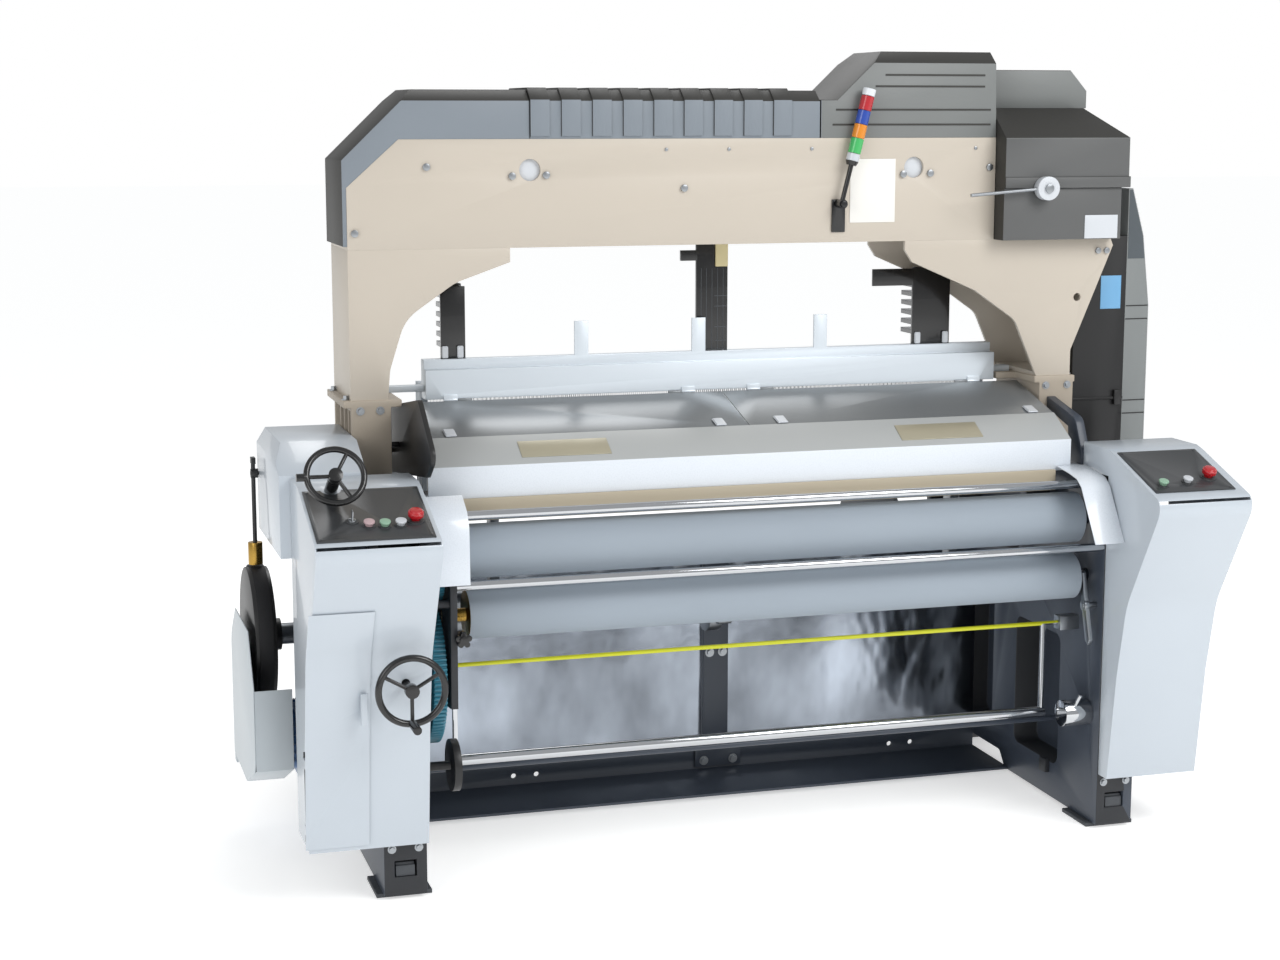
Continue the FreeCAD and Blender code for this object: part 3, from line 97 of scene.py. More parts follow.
def finish_of(name, code, rough=0.4, metal=0.0, bumps=0.0, grain_mm=2.5, stretch=(1, 1, 1),
              mottle=0.04, coat=0.0, depth=0.001):
    """Finish with faint clouds in its colour and a grain, given in mm, in its shine."""
    cloud_mm = 333.3
    shine_spread = 0.06
    finish = bpy.data.materials.new(name)
    finish.use_nodes = True
    tree = finish.node_tree
    surface = tree.nodes["Principled BSDF"]
    surface.inputs["Metallic"].default_value = metal
    surface.inputs["Coat Weight"].default_value = coat
    place = add_node(tree, "ShaderNodeTexCoord")
    scaled = add_node(tree, "ShaderNodeMapping", Scale=stretch)
    tree.links.new(place.outputs["Object"], scaled.inputs["Vector"])
    clouds = add_node(tree, "ShaderNodeTexNoise", Scale=1000 / cloud_mm, Detail=4.0)
    fine = add_node(tree, "ShaderNodeTexNoise", Scale=1000 / grain_mm, Detail=2.0)
    for noise in (clouds, fine):
        tree.links.new(scaled.outputs["Vector"], noise.inputs["Vector"])
    shade = add_node(tree, "ShaderNodeMix", data_type="RGBA", blend_type="MULTIPLY")
    shade.inputs[0].default_value = 1.0
    shade.inputs[6].default_value = linear(code)
    band = add_node(tree, "ShaderNodeMapRange")
    band.inputs["To Min"].default_value = 1.0 - mottle
    band.inputs["To Max"].default_value = 1.0 + mottle
    tree.links.new(clouds.outputs["Fac"], band.inputs["Value"])
    tree.links.new(band.outputs["Result"], shade.inputs[7])
    tree.links.new(shade.outputs[2], surface.inputs["Base Color"])
    spread = add_node(tree, "ShaderNodeMapRange")
    spread.inputs["To Min"].default_value = max(rough - shine_spread, 0.02)
    spread.inputs["To Max"].default_value = rough + shine_spread
    tree.links.new(fine.outputs["Fac"], spread.inputs["Value"])
    tree.links.new(spread.outputs["Result"], surface.inputs["Roughness"])
    if bumps:
        relief = add_node(tree, "ShaderNodeBump", Strength=bumps, Distance=depth)
        tree.links.new(fine.outputs["Fac"], relief.inputs["Height"])
        tree.links.new(relief.outputs["Normal"], surface.inputs["Normal"])
    return finish


def soften(mesh):
    """Shades a mesh smooth and keeps its corners sharp."""
    for polygon in mesh.polygons:
        polygon.use_smooth = True
    mesh.set_sharp_from_angle(angle=smooth_angle)


def dress(node, finish, edge=0.0015, places=()):
    """Shows a CAD node with joined faces and softened edges; places give other finishes."""
    mesh = nodes[node].data.copy()
    mesh.materials.clear()
    work = bmesh.new()
    work.from_mesh(mesh)
    bmesh.ops.remove_doubles(work, verts=work.verts, dist=merge_gap)
    bmesh.ops.dissolve_limit(work, angle_limit=flat_angle, verts=work.verts, edges=work.edges)
    work.to_mesh(mesh)
    work.free()
    shown = bpy.data.objects.new(node + "_finished", mesh)
    bpy.context.scene.collection.objects.link(shown)
    if edge:
        rounding = shown.modifiers.new("edges", "BEVEL")
        rounding.width = edge
        rounding.segments = 2
        rounding.limit_method = "ANGLE"
        rounding.angle_limit = bevel_angle
        settled = shown.evaluated_get(bpy.context.evaluated_depsgraph_get())
        shown.data = bpy.data.meshes.new_from_object(settled)
        shown.modifiers.clear()
        mesh = shown.data
    soften(mesh)
    mesh.materials.clear()
    for item in [finish] + [place[1] for place in places]:
        mesh.materials.append(item)
    for polygon in mesh.polygons:
        spot = polygon.center * 1000
        x, y = spot.x - middle_shift, spot.y + front_shift
        for number, (inside, _) in enumerate(places, 1):
            if inside(x, y, spot.z, polygon.normal):
                polygon.material_index = number
    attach(shown, nodes[node]["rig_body"])
    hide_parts(node)
    return shown


# Sprayed over filler and rubbed down: an even colour with a broad, soft shine.
slate = finish_of("slate blue machine enamel", "#3D444F", 0.38, bumps=0.05)
# A darker, duller slate with no clear highlight, painted shade for the frames' inner sides.
slate_shade_and_housings = finish_of("dark slate, painted shade and housing coat", "#26282C", 0.5)

inner_side = 986
outer_side = 1064


# The frames' inner sides, which get the darker slate as painted shade.
def inner_side_in_painted_shade(x, y, z, normal):
    return inner_side < abs(x) < outer_side


for side in ("left", "right"):
    dress(f"side_frame_{side}", slate, 0.003, [(inner_side_in_painted_shade, slate_shade_and_housings)])

# ------------------------------------------------------------------ levelling feet
# Four iron floor pads, and a ribbed wedge block in the slot of each front foot. They are cast and
# left rough, and the blocks level the machine.

# Cast in sand and barely cleaned: a 7 mm lumpy skin with a dull, broken shine.
iron = finish_of("grey cast iron", "#4D5054", 0.6, metal=0.3, bumps=0.4, grain_mm=7.1)
dress("levelling_feet", iron, 0.002)

# ------------------------------------------------------------------ frame bolts
# Hexagon bolts on round washers, cold headed from steel and zinc plated. They clamp the cross
# members to the front faces of both frames.


def at(x, y, z):
    """Point in the shared frame of a place given in mm."""
    return Vector(((x + middle_shift) / 1000, (y - front_shift) / 1000, z / 1000))


def model_of(label, finish, work):
    """Makes an object of a bmesh."""
    mesh = bpy.data.meshes.new(label)
    work.to_mesh(mesh)
    work.free()
    mesh.materials.append(finish)
    model = bpy.data.objects.new(label, mesh)
    bpy.context.scene.collection.objects.link(model)
    soften(mesh)
    return model


def add_bar(work, start, end, radius, sides=24, tip=None):
    """Adds a round bar between two points to a bmesh."""
    run = end - start
    turn = run.to_track_quat("Z", "Y").to_matrix().to_4x4()
    spot = Matrix.Translation((start + end) / 2) @ turn
    bmesh.ops.create_cone(work, cap_ends=True, segments=sides, radius1=radius,
                          radius2=radius if tip is None else tip, depth=run.length, matrix=spot)


def bolt_model(axis, radius, height):
    """Hexagon head on a washer, its foot at the origin, along the given axis."""
    washer_top = axis * height * 0.3
    work = bmesh.new()
    add_bar(work, Vector((0, 0, 0)), washer_top, radius * 1.45, 20)
    add_bar(work, washer_top, axis * height, radius, 6, radius * 0.94)
    return model_of("bolt", steel, work)


def repeat(label, spots, model, body, finish):
    """Stands one model on every spot with a node tree, and keeps the row as one mesh."""
    mesh = bpy.data.meshes.new(label)
    mesh.from_pydata([tuple(spot) for spot in spots], [], [])
    row = bpy.data.objects.new(label, mesh)
    bpy.context.scene.collection.objects.link(row)
    tree = bpy.data.node_groups.new(label, "GeometryNodeTree")
    face = tree.interface
    face.new_socket("Spots", in_out="INPUT", socket_type="NodeSocketGeometry")
    part_in = face.new_socket("Part", in_out="INPUT", socket_type="NodeSocketObject")
    look_in = face.new_socket("Finish", in_out="INPUT", socket_type="NodeSocketMaterial")
    face.new_socket("Row", in_out="OUTPUT", socket_type="NodeSocketGeometry")
    enter = add_node(tree, "NodeGroupInput")
    leave = add_node(tree, "NodeGroupOutput")
    info = add_node(tree, "GeometryNodeObjectInfo")
    stand = add_node(tree, "GeometryNodeInstanceOnPoints")
    real = add_node(tree, "GeometryNodeRealizeInstances")
    coat = add_node(tree, "GeometryNodeSetMaterial")
    link = tree.links.new
    link(enter.outputs["Part"], info.inputs["Object"])
    link(enter.outputs["Spots"], stand.inputs["Points"])
    link(info.outputs["Geometry"], stand.inputs["Instance"])
    link(stand.outputs["Instances"], real.inputs["Geometry"])
    link(real.outputs["Geometry"], coat.inputs["Geometry"])
    link(enter.outputs["Finish"], coat.inputs["Material"])
    link(coat.outputs["Geometry"], leave.inputs["Row"])
    change = row.modifiers.new("repeat", "NODES")
    change.node_group = tree
    change[part_in.identifier] = model
    change[look_in.identifier] = finish
    settled = row.evaluated_get(bpy.context.evaluated_depsgraph_get())
    row.data = bpy.data.meshes.new_from_object(settled)
    row.modifiers.clear()
    soften(row.data)
    bpy.data.objects.remove(model)
    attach(row, body)


# Bright zinc over machined steel: a clean grey mirror, blurred a little by the plating.
steel = finish_of("zinc plated steel", "#A3A7AB", 0.3, metal=1.0)

to_weaver = Vector((0, -1, 0))
upward = Vector((0, 0, 1))
frame_middle = 1042.5
frame_face = 0.5
spots = [at(hand * frame_middle + across, frame_face, z)
         for hand in (-1, 1) for across in (-36, 36) for z in (140, 250)]
repeat("frame_bolts", spots, bolt_model(to_weaver, 0.008, 0.007),
       "machine_frame", steel)

# ------------------------------------------------------------------ stretchers
# A front tray with its web, a centre strut on a foot flange, a cross tube and a rear box tube.
# They are steel, sprayed like the frames, and tie them together.
dress("stretchers", slate, 0.0015)

# ------------------------------------------------------------------ guard sheet
# One flat stainless sheet, 2 mm thick, cut to the gap between the frames. It closes the space
# behind the take-up.

# Polished thin sheet that has sagged a little: slow 143 mm waves break up what it mirrors. Strong
# light and dark clouds in its colour are painted reflection and shade.
film = finish_of("polished stainless sheet, painted reflection", "#969DA7", 0.16, metal=1.0, grain_mm=143, bumps=0.6,
                 stretch=(1.1, 1, 0.6), depth=0.014, mottle=1.3)
dress("guard_sheet", film, 0)

# ------------------------------------------------------------------ strut bolts
# Larger bolts of the same kind as on the frames, zinc plated too. Two hold the centre strut's foot
# flange and four stand up its face.
foot_spots = [at(x, 825, 50) for x in (58, 154)]
plate_spots = [at(x, 815, z) for x in (72, 114) for z in (400, 600)]
repeat("strut_bolts", foot_spots + plate_spots, bolt_model(to_weaver, 0.010, 0.010),
       "machine_frame", steel)

# ------------------------------------------------------------------ gantry pedestals
# Two ribbed castings, sprayed beige. They are bolted on top of the side frames and carry the
# gantry's legs.

# Enamel straight on a sand casting: matt, with a 6 mm roughness showing through.
beige_dark = finish_of("rough beige casting enamel", "#AEA394", 0.55, bumps=0.25, grain_mm=5.6)
dress("cast_pedestals", beige_dark, 0.003)

# ------------------------------------------------------------------ gantry legs and beam
# Two channel legs of shaped plates and a trough beam, all steel and sprayed beige. The beam spans
# the machine, with two round windows in its front and slots for the heald rods.

# Sprayed on smooth plate: a clean satin colour, with almost no clouds.
beige = finish_of("beige satin enamel", "#C1B8AB", 0.42, bumps=0.03, mottle=0.02)
dress("gantry_legs", beige, 0.002)
dress("gantry_beam", beige, 0.002)

# ------------------------------------------------------------------ gantry fittings
# Bolt and screw heads in plated steel, the stud of the dobby lever, and the pale plastic discs
# that stand behind the beam's two round windows.

# Moulded against a polished tool: pale and even, with a soft highlight.
pale = finish_of("pale grey moulded plastic", "#C9CDD2", 0.3)
window_height = 1901
window_reach = 45


def sight_disc(x, y, z, normal):
    return 401 < y < 410 and abs(z - window_height) < window_reach


dress("gantry_fittings", steel, 0.0006, [(sight_disc, pale)])
pedestal_x = (-1075, -1020, 980, 1050)
repeat("pedestal_bolts", [at(x, 385, 1255) for x in pedestal_x],
       bolt_model(to_weaver, 0.008, 0.008), "machine_frame", steel)
repeat("flange_bolts", [at(x, y, 1283) for x in (-1108, 1066) for y in (420, 640)],
       bolt_model(upward, 0.008, 0.012), "machine_frame", steel)

# ------------------------------------------------------------------ top covers
# Sheet covers over the gantry: a plain one, a ribbed one, a tall hood and a rear hood. They are
# folded and sprayed blue-grey or warm grey in front and charcoal on the faces that look up.

# Textured enamel sprayed in small drops of 1.7 mm, which scatter the light evenly.
cover_grey = finish_of("blue-grey textured enamel", "#7B838B", 0.5, bumps=0.12, grain_mm=1.67)
# The same texture in a warmer grey, on the tall hood.
hood_grey = finish_of("warm grey textured enamel", "#757877", 0.5, bumps=0.12, grain_mm=1.67)
# The same texture, nearly black, so that the faces that look up show only a faint sheen.
charcoal_top = finish_of("charcoal enamel, upper faces", "#2F2E2B", 0.55, bumps=0.12,
                         grain_mm=1.67)
hood_left = 285


def on_hood(x, y, z, normal):
    return x > hood_left


def dark_face(x, y, z, normal):
    return normal.z > 0.35 or normal.x < -0.6 or normal.x > 0.9


dress("top_covers", cover_grey, 0.004,
      [(on_hood, hood_grey), (dark_face, charcoal_top)])

# ------------------------------------------------------------------ dobby box
# A sheet box at the right end of the gantry, with a sloped cover and a ledge around it. It is
# folded and sprayed, its lower part a darker grey than its cover.

# Textured enamel again, in dark grey: soft and even, a little shinier than the covers.
box_grey = finish_of("dark grey box enamel", "#595A5A", 0.45, bumps=0.1, grain_mm=1.67)
box_deck = 1880


def below_deck(x, y, z, normal):
    return z < box_deck


dress("dobby_box", hood_grey, 0.003,
      [(below_deck, box_grey), (dark_face, charcoal_top)])

# ------------------------------------------------------------------ hood lines
# Thin raised lines across the front of the tall hood, where its folded sheets meet. They have the
# charcoal coat of its upper faces.


def add_block(work, low, high):
    """Adds a block between two corners to a bmesh."""
    middle = (low + high) / 2
    spot = Matrix.Translation(middle) @ Matrix.Diagonal((*(high - low), 1))
    bmesh.ops.create_cube(work, size=1, matrix=spot)


def add_piece(label, body, finish, work):
    """Makes an object of a bmesh that rides on a body."""
    piece = model_of(label, finish, work)
    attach(piece, body)
    return piece


line_height = 5
work = bmesh.new()
for height, x0, x1 in ((2020, 290, 780), (2062, 300, 780), (2128, 420, 760), (2160, 450, 760)):
    add_block(work, at(x0, 388.5, height), at(x1, 390.5, height + line_height))
add_piece("hood_lines", "machine_frame", charcoal_top, work)

# ------------------------------------------------------------------ rear casing
# A tall sheet casing behind the right frame, folded and sprayed black, with a grey side panel. A
# blue card tag lies on its front.

# Smooth black enamel: dark, with one soft highlight along each fold.
casing_black = finish_of("black casing enamel", "#1F1F20", 0.4)
# Smooth mid grey enamel on the side panel.
casing_grey = finish_of("grey side panel enamel", "#7E8282", 0.4)
# The upper side panel's enamel: bluer and darker, with the same smooth shine.
casing_slate = finish_of("slate upper side panel enamel", "#4E555A", 0.45)
# Matt uncoated card: a flat colour with no highlight.
sky = finish_of("blue card", "#6FA6CF", 0.5)
panel_left = 1270.5
upper_panel_foot = 1620


def on_panel(x, y, z, normal):
    return x > panel_left


def on_upper_panel(x, y, z, normal):
    return x > panel_left and (z > upper_panel_foot or normal.z > 0.3)


def on_tag(x, y, z, normal):
    return y < 450 and z > 1390


dress("rear_casing", casing_black, 0.003,
      [(on_panel, casing_grey), (on_upper_panel, casing_slate), (on_tag, sky)])
seam = 3
work = bmesh.new()
for height in (1478, 1438, 1190, 1150):
    add_block(work, at(1273, 448.6, height), at(1347, 450.6, height + seam))
add_piece("casing_seams", "machine_frame", casing_black, work)

# The upper side panel also shows from the front, as a thin sheet with a sloped edge.
panel_sheet = 0.0010
corners = ((1274, 1622), (1330, 1622), (1322, 1690), (1283, 1828), (1274, 1828))
work = bmesh.new()
front = work.faces.new([work.verts.new(at(x, 449.2, z)) for x, z in corners])
sides = bmesh.ops.extrude_face_region(work, geom=[front])["geom"]
bmesh.ops.translate(work, vec=Vector((0, panel_sheet, 0)),
                    verts=[v for v in sides if isinstance(v, bmesh.types.BMVert)])
bmesh.ops.recalc_face_normals(work, faces=work.faces[:])
add_piece("casing_upper_panel", "machine_frame", casing_slate, work)

# ------------------------------------------------------------------ blank plates
# Thin bare plates: two of bronze-coloured sheet on the breast cover, a white notice on the beam
# and a pale one on the dobby box. They lie flat on the covers.

# Uncoated paper: a warm white with no highlight.
paper = finish_of("bare white notice", "#E6E4DF", 0.6)
# Lacquered bronze-coloured sheet: pale, with a weak metal shine.
bronze = finish_of("bare plate, pale bronze", "#B3AD98", 0.35, metal=0.35)


def on_breast(x, y, z, normal):
    return z < 1300


def on_box(x, y, z, normal):
    return x > 1000 and z > 1600


dress("blank_plates", paper, 0.0005, [(on_breast, bronze), (on_box, pale)])

# ------------------------------------------------------------------ signal lamps
# A stack of coloured drums, moulded in plastic, on a stem that leans from a knuckle. The knuckle
# turns on the pin of a black bracket plate on the beam's face.

# Moulded black plastic against a polished tool: deep black with small, sharp highlights.
black = finish_of("black moulded plastic", "#111112", 0.25, coat=0.3)
dress("tower_bracket", black, 0.0008)


def round_edges(work, width, segments, edges=None):
    """Rounds the edges of a bmesh, all of them unless some are given."""
    chosen = work.edges[:] if edges is None else edges
    bmesh.ops.bevel(work, geom=chosen, offset=width, segments=segments, affect="EDGES")


lean = Vector((0.2426, 0, 0.9701))
knuckle = at(310, 362, 1800)
foot = knuckle + lean * 0.112
across_stem = Matrix.Rotation(math.pi / 2, 4, "X")
work = bmesh.new()
add_bar(work, foot - lean * 0.1, foot + lean * 0.004, 0.007, 20)
add_bar(work, foot, foot + lean * 0.012, 0.014, 28, 0.019)
bmesh.ops.create_cone(work, cap_ends=True, segments=28, radius1=0.013, radius2=0.013, depth=0.030,
                      matrix=Matrix.Translation(knuckle) @ across_stem)
stem = add_piece("lamp_stem", "signal_lamps_body", black, work)
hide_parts("signal_lamps")

# Each drum starts and ends at a height on the stem, with a thin gap to the next one.
lamps = [("#C3C8CE", 0.012, 0.034), ("#3FAE5E", 0.034, 0.078), ("#D9851C", 0.078, 0.118),
         ("#2245A0", 0.118, 0.158), ("#B01E28", 0.158, 0.200), ("#D8DCE0", 0.200, 0.2215)]
drum_gap = 0.0006
drum_radius = 0.0188
for number, (code, low, high) in enumerate(lamps):
    work = bmesh.new()
    add_bar(work, foot + lean * (low + drum_gap), foot + lean * (high - drum_gap), drum_radius, 40)
    round_edges(work, 0.0012, 2, [e for e in work.edges if e.calc_face_angle(0) > 1])
    # Tinted clear plastic, unlit: a full colour under a glossy skin.
    drum_plastic = finish_of(f"lamp lens {number}", code, 0.2, coat=0.6)
    add_piece(f"lamp_drum_{number}", "signal_lamps_body", drum_plastic, work)

# ------------------------------------------------------------------ dobby lever
# A pale plastic disc with a long steel rod, turning on a stud in front of the dobby box. The rod
# is plated like the bolts.
stud_x = 924
disc_reach = 35


def on_disc(x, y, z, normal):
    return abs(x - stud_x) < disc_reach


dress("dobby_lever", steel, 0.001, [(on_disc, pale)])

# ------------------------------------------------------------------ heald rail
# An aluminium rail across the machine with an upper strip, three uprights, end brackets and the
# lids' hinge lugs. It is extruded, cut to length and anodised.

# Satin anodising over an extrusion: pale, with a wide, silky shine.
aluminium = finish_of("satin anodised aluminium", "#DDE5EC", 0.32, metal=0.35)
dress("heald_rail", aluminium, 0.0015)

# ------------------------------------------------------------------ heald guides
# Three toothed blocks in black plastic that stand on the rail in front of the heald rods. Slats
# show on the middle one, with a cream bracket above, and pale clamps hold the outer two.
dress("heald_guides", black, 0.001)
slat_half = 0.8
work = bmesh.new()
for x in (-46, -30, -13, 4, 21):
    add_block(work, at(x - slat_half, 554.4, 1374), at(x + slat_half, 555.4, 1612))
for height in (1400, 1440, 1500, 1530):
    add_block(work, at(-6, 554.3, height), at(33, 555.4, height + 2))
add_piece("guide_slats", "machine_frame", iron, work)

# Moulded in a warm off-white, with the same soft highlight as the pale plastic.
cream = finish_of("cream moulded plastic", "#D9CC9E", 0.4)
work = bmesh.new()
add_block(work, at(-4, 549, 1616), at(34, 555.2, 1688))
round_edges(work, 0.0015, 2)
add_piece("guide_bracket", "machine_frame", cream, work)

clamp_foot = 1374
work = bmesh.new()
for x in (-806, -762, 634, 724):
    add_block(work, at(x - 8, 547, clamp_foot), at(x + 10, 555.2, clamp_foot + 34))
round_edges(work, 0.002, 2)
add_piece("guide_clamps", "machine_frame", pale, work)

# ------------------------------------------------------------------ heald frames
# Four frames of aluminium slats that rise and fall in the guides. Thin steel healds hang side by
# side in each, drawn 12.5 mm apart because the real spacing is too fine to show.

# Steel turned on a lathe: rings across its length stretch the shine.
dull = finish_of("turned steel", "#8B8F93", 0.34, metal=1.0, stretch=(30, 1, 1))
heald_pitch = 0.0125
heald_count = 135
heald_foot = 0.998
for number in range(4):
    name = f"heald_frame_{number + 1}"
    dress(name, aluminium, 0.001)
    low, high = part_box(name)
    middle = (low.y + high.y) / 2
    work = bmesh.new()
    add_block(work, Vector((-0.0004, -0.0012, 0)), Vector((0.0004, 0.0012, 0.264)))
    heald = model_of("heald", steel, work)
    first = low.x + 0.030
    spots = [Vector((first + step * heald_pitch, middle, heald_foot))
             for step in range(heald_count)]
    repeat(name + "_healds", spots, heald, name + "_body", dull)

# ------------------------------------------------------------------ lids
# Two sloped, bent sheets, each hinged to the rail by two knuckles at its rear edge. Each has two
# clips of pale plastic near that edge.

# Brushed along its length before a thin clear coat: the shine is drawn out across the lid.
lid_grey = finish_of("satin grey lid sheet", "#8B8F92", 0.3, metal=0.45, stretch=(1, 40, 40))
dress("lid_left", lid_grey, 0.0008)
dress("lid_right", lid_grey, 0.0008)
lid_slope = Matrix.Rotation(math.atan2(71, 255), 4, "X")
for side, clip_x in (("left", (-851, -82)), ("right", (101, 877))):
    work = bmesh.new()
    add_block(work, Vector((-0.016, -0.026, 0)), Vector((0.016, 0.020, 0.006)))
    round_edges(work, 0.0025, 3)
    bmesh.ops.transform(work, matrix=lid_slope, verts=work.verts)
    clip = model_of("clip", pale, work)
    repeat(f"lid_clips_{side}", [at(x, 280, 1199) for x in clip_x], clip, f"lid_{side}_body",
           pale)

# ------------------------------------------------------------------ breast cover
# A long bent sheet in white enamel in front of the lids, grey on its upper face. A tan strip
# runs along its foot behind the guide bar, and brackets hold its ends.

# Two smooth coats on flat sheet: white and clean, with a clear highlight.
white_paint = finish_of("white enamel", "#DDE3EA", 0.28, coat=0.3, mottle=0.015)
# The same enamel in light grey and without the last coat, so a little duller.
breast_grey = finish_of("light grey breast enamel", "#B0B3B3", 0.4, mottle=0.015)
# Close-woven strip, whose threads are too fine to show: an even, dull tan.
tan = finish_of("tan cloth support strip", "#B7AC97", 0.45)


def breast_top(x, y, z, normal):
    return normal.z > 0.5 and z > 1128


def on_strip(x, y, z, normal):
    return z < 1046 and y < 136.9


dress("breast_cover", white_paint, 0.0012,
      [(breast_top, breast_grey), (on_strip, tan)])

# ------------------------------------------------------------------ guard arms and corner covers
# A curved slate arm on the right frame and a black plate on spacers at the left. A white cover
# closes the left gears and a bent white sheet the right corner.


def left_half(x, y, z, normal):
    return x < 0


dress("guard_arms", slate, 0.002, [(left_half, casing_black)])
dress("corner_covers", white_paint, 0.003)

# ------------------------------------------------------------------ consoles
# A sheet shell around the front of each frame, with a curved front and a sloped control panel. The
# left one has a curved door on a pin, closed by a quarter-turn latch.

# Glossy stoved enamel: a pale blue-grey with a clear highlight on each fold.
console_paint = finish_of("pale blue-grey enamel", "#BCC4CC", 0.3, coat=0.3, mottle=0.015)
# Printed film glued to the panel, all one colour: dark, with a smooth sheen.
panel_dark = finish_of("dark control panel film", "#3A3C3E", 0.3)
dress("console_left", console_paint, 0.002)
dress("console_right", console_paint, 0.002)
dress("console_panels", panel_dark, 0.0006)
dress("console_door", console_paint, 0.001)
dress("door_latch", console_paint, 0.002)

# ------------------------------------------------------------------ console controls
# Push buttons, stop buttons and a key switch, each standing in a bezel of its panel. The caps are
# moulded plastic in their own colours, and the key switch is plated.

# Faint pink and green tints in the same moulded plastic, with a soft highlight.
pink = finish_of("pink tinted button", "#BFA5A8", 0.3)
green = finish_of("green tinted button", "#8FB39B", 0.3)
# Solid red moulding with a polished skin: a strong colour under a sharp highlight.
red = finish_of("red moulded plastic", "#B5151F", 0.25, coat=0.5)
for name, look in (("left_button_a", pink), ("left_button_b", green), ("left_button_c", pale),
                   ("right_button_a", green), ("right_button_b", pale)):
    dress(name, look, 0.0015)
dress("left_stop_button", red, 0.002)
dress("right_stop_button", red, 0.002)
dress("left_key_switch", steel, 0.0008)

# ------------------------------------------------------------------ handwheels
# Two wheels with rim, hub and spokes in black plastic. The small upper one stands on a tilted axis
# over the left console, and the front one has a crank grip.
dress("upper_handwheel", black, 0.001)
dress("front_handwheel", black, 0.001)

# ------------------------------------------------------------------ take-up rollers
# Two steel rollers wrapped in a sanded strip that grips the cloth, with bright bare ends. The
# take-up roller has a gear on its left journal, and the press roller a brass ring.

# Strip with a 1.1 mm grit on it: matt and speckled, with no highlight.
rubbered = finish_of("grey sanded roller wrap", "#98A2AC", 0.75, bumps=0.5, grain_mm=1.11)
# Ground and hard chromed: nearly a mirror, with a faint 17 mm unevenness.
chrome = finish_of("hard chrome plate", "#C4C6C9", 0.09, metal=1.0, grain_mm=16.7)
# Enamel on a cast gear blank: an even teal with a soft shine.
teal = finish_of("teal gear enamel", "#2F7488", 0.35)
# Turned brass: yellow metal with a narrow, warm highlight.
brass = finish_of("brass", "#B08D45", 0.28, metal=1.0)


def bare_take_up_end(x, y, z, normal):
    return x > 905 or x < -868


def on_roller_gear(x, y, z, normal):
    return -975 < x < -900


def on_brass_ring(x, y, z, normal):
    return x < -849


def bare_press_end(x, y, z, normal):
    return x > 930


dress("take_up_roller", rubbered, 0.001,
      [(bare_take_up_end, chrome), (on_roller_gear, teal)])
dress("press_roller", rubbered, 0.001,
      [(on_brass_ring, brass), (bare_press_end, chrome)])

# ------------------------------------------------------------------ take-up gear and bars
# A large gear in teal enamel on its stud, and two chromed bars across the front. The swing bar
# joins a yellow rod and a lower chromed bar by arms, and turns as one piece.
dress("take_up_gear", teal, 0.0004)
dress("guide_bars", chrome, 0.001)

# Dipped in lacquer: a strong yellow-green with a soft highlight.
yellow = finish_of("yellow rod lacquer", "#C9CC1F", 0.35)


def on_yellow_rod(x, y, z, normal):
    return z > 575 and -850 < x < 770


dress("swing_bar", chrome, 0.001, [(on_yellow_rod, yellow)])

# ------------------------------------------------------------------ take-up fittings
# A flat steel release lever at the rollers' right end, a moulded star knob on a screw, and two
# hubs that hold the cloth roll between them, the left one black.


def left_hub(x, y, z, normal):
    return x < -880


dress("release_lever", steel, 0.001)
dress("star_knob", black, 0.001)
dress("cloth_hubs", chrome, 0.002, [(left_hub, casing_black)])

# ------------------------------------------------------------------ sley and reed
# A steel beam on the two swords of its rocker shaft. Its reed is a comb of flat steel dents, drawn
# 5 mm apart because the real ones are too fine to show.
dress("sley", dull, 0.001)
dent_pitch = 5
dent_count = 347
work = bmesh.new()
add_block(work, Vector((-0.0004, -0.0012, 0)), Vector((0.0004, 0.0002, 0.082)))
dent = model_of("dent", steel, work)
repeat("reed_dents", [at(-865 + dent_pitch * step, 424.8, 1064) for step in range(dent_count)],
       dent, "sley_body", steel)

# ------------------------------------------------------------------ main shaft
# A turned steel shaft with its cam between the frames. The wheel outside the left frame is cast
# and painted black.


def on_wheel(x, y, z, normal):
    return x < -1278


dress("main_shaft", dull, 0.002, [(on_wheel, casing_black)])

# ------------------------------------------------------------------ main motor
# A motor in a cast housing, in blue enamel, bolted to the outside of the left frame. Rings of
# short ribs stand round its body, all but at its underside.

# Enamel on a fine casting: an even blue with a soft shine.
blue = finish_of("blue motor enamel", "#2C5C8F", 0.35)
dress("main_motor", blue, 0.002)
rib_count = 24
rib_root = 0.094
rib_tip = 0.106
underside = -0.5
work = bmesh.new()
for step in range(rib_count):
    angle = 2 * math.pi * step / rib_count
    if math.sin(angle) < underside:
        continue
    way = Vector((0, math.cos(angle), math.sin(angle)))
    add_bar(work, way * rib_root, way * rib_tip, 0.0016, 8)
rib = model_of("rib", blue, work)
repeat("motor_ribs", [at(-1270 + 5 * step, 640, 290) for step in range(28)], rib,
       "machine_frame", blue)

# ------------------------------------------------------------------ belt drive
# A turned pulley on the motor's shaft and a flat rubber belt up to the wheel. An open guard of
# folded sheet stands round them, and the drive cover above the wheel has the consoles' enamel.

# Moulded rubber: black and matt, with a slight roughness.
rubber = finish_of("black rubber", "#17171A", 0.7, bumps=0.2)
# A thinner coat than the consoles' on the same kind of sheet: light grey and duller.
guard_paint = finish_of("light grey sheet enamel", "#B9C1C6", 0.35)
guard_top = 700


def on_belt_guard(x, y, z, normal):
    return z < guard_top


dress("motor_pulley", dull, 0.001)
dress("drive_belt", rubber, 0.0005)
dress("drive_guards", console_paint, 0.001, [(on_belt_guard, guard_paint)])

# ------------------------------------------------------------------ brake lever
# A thin black lever with a fork at its top. A turned brass cylinder is fixed at its foot.


def on_cylinder(x, y, z, normal):
    return z < 872


dress("brake_lever", casing_black, 0.0008, [(on_cylinder, brass)])

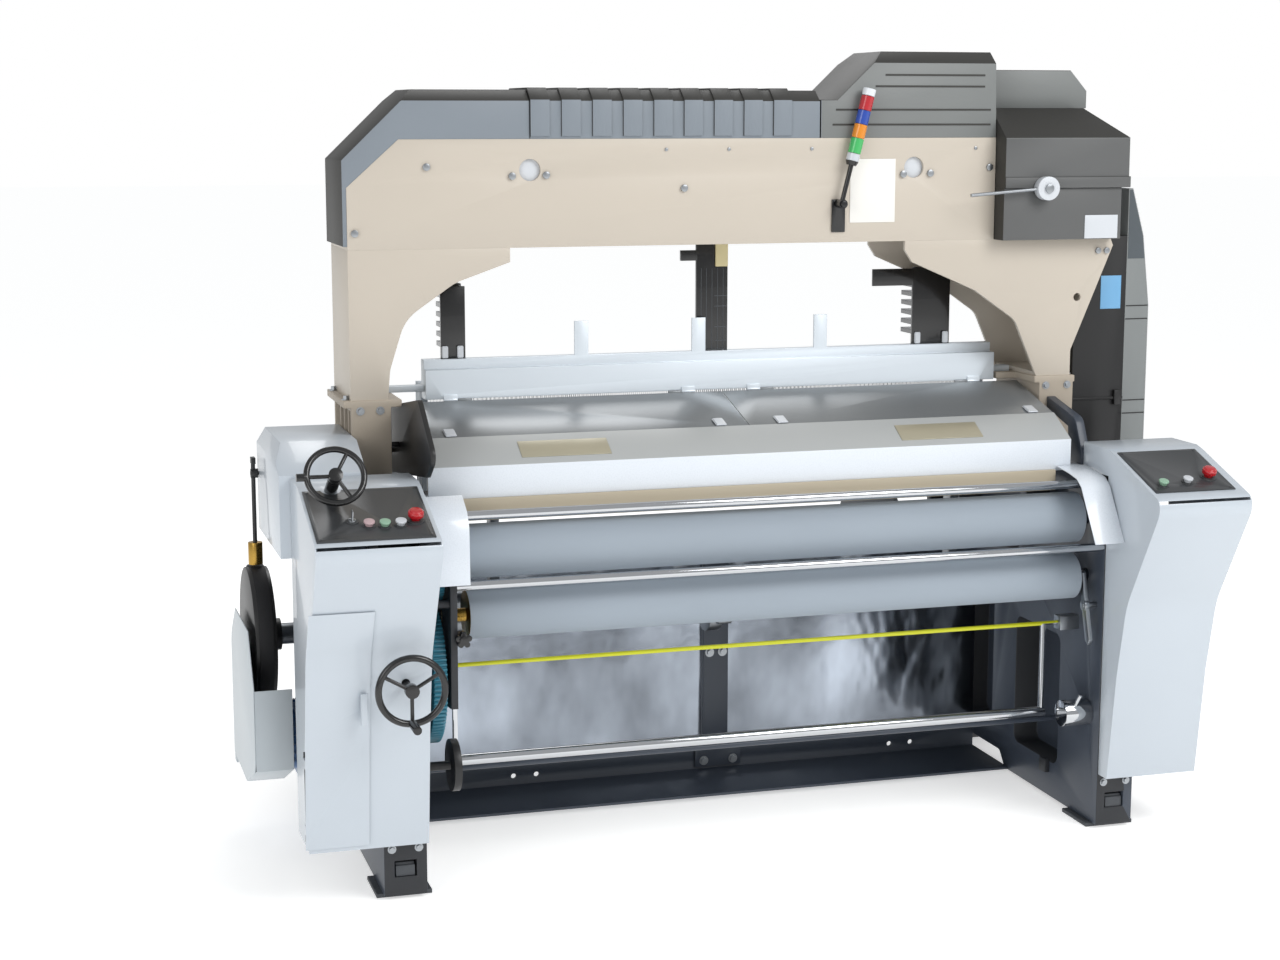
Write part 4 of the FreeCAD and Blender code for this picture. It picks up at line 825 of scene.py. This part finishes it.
# ------------------------------------------------------------------ warp beam and back rest
# A warp beam of turned steel between two cast flanges, and above it the bare steel roller over
# which the warp turns.


def between_flanges(x, y, z, normal):
    return abs(x) < 849


dress("warp_beam", iron, 0.002, [(between_flanges, dull)])
dress("back_rest", dull, 0.001)

# ------------------------------------------------------------------ bearing housings
# The bracket plate, studs, take-up gearbox and rear brackets, cast and in the darker slate that
# paints the shade on the frames' inner sides.
# The upper handwheel's post is black, and the piece at the rollers' right end is left bare.


def on_post(x, y, z, normal):
    return x < -1150 and z > 1000 and y < 100


def right_housing(x, y, z, normal):
    return 920 < x < 986 and 560 < z < 700


dress("bearing_housings", slate_shade_and_housings, 0.0015,
      [(on_post, black), (right_housing, steel)])

# ------------------------------------------------------------------ room, lights and camera
# A pale floor under an even white room, with three soft lights. The camera stands in front of the
# machine, a little to its left, at about head height.

# Matt pale paint that glows faintly, so that the floor stays as pale as the room behind it.
pale_floor = finish_of("plain pale floor", "#F4F4F3", 0.9, mottle=0.0)
glow = pale_floor.node_tree.nodes["Principled BSDF"]
glow.inputs["Specular IOR Level"].default_value = 0.0
glow.inputs["Emission Color"].default_value = (1, 1, 1, 1)
glow.inputs["Emission Strength"].default_value = 0.5
floor_half = 60
work = bmesh.new()
bmesh.ops.create_grid(work, x_segments=1, y_segments=1, size=floor_half)
model_of("floor", pale_floor, work)

# The camera sees plain white behind the machine, and the machine gets a softer, cooler light.
room = bpy.data.worlds.new("pale room")
room.use_nodes = True
tree = room.node_tree
soft = tree.nodes["Background"]
soft.inputs["Color"].default_value = (0.97, 0.985, 1, 1)
soft.inputs["Strength"].default_value = 0.55
seen = add_node(tree, "ShaderNodeBackground", Strength=1.0, Color=(1, 1, 1, 1))
ray = add_node(tree, "ShaderNodeLightPath")
either = add_node(tree, "ShaderNodeMixShader")
tree.links.new(ray.outputs["Is Camera Ray"], either.inputs[0])
tree.links.new(soft.outputs[0], either.inputs[1])
tree.links.new(seen.outputs[0], either.inputs[2])
tree.links.new(either.outputs[0], tree.nodes["World Output"].inputs["Surface"])
bpy.context.scene.world = room

for label, spot, aim, power, width in (
        ("key light", (2.6, -4.6, 4.8), (0.2, -0.3, 1.0), 190, 3.0),
        ("fill light", (-4.4, -4.0, 2.8), (0, 0, 1.0), 55, 2.5),
        ("back light", (0.5, 3.6, 5.2), (0, -0.4, 1.1), 90, 3.0)):
    lamp = bpy.data.lights.new(label, "AREA")
    lamp.energy = power
    lamp.size = width
    holder = bpy.data.objects.new(label, lamp)
    holder.location = spot
    holder.rotation_euler = (Vector(aim) - Vector(spot)).to_track_quat("-Z", "Y").to_euler()
    bpy.context.scene.collection.objects.link(holder)

tilt_down = 9.4
turn_right = 16.6
camera_lens = bpy.data.cameras.new("camera")
camera_lens.lens = 62.04
camera_lens.sensor_width = 36
camera_lens.clip_end = 100
camera = bpy.data.objects.new("camera", camera_lens)
camera.location = (-2.0225, -6.255, 2.05)
camera.rotation_euler = (math.radians(90 - tilt_down), 0, math.radians(-turn_right))
bpy.context.scene.collection.objects.link(camera)
bpy.context.scene.camera = camera
bpy.context.scene.view_settings.view_transform = "Standard"
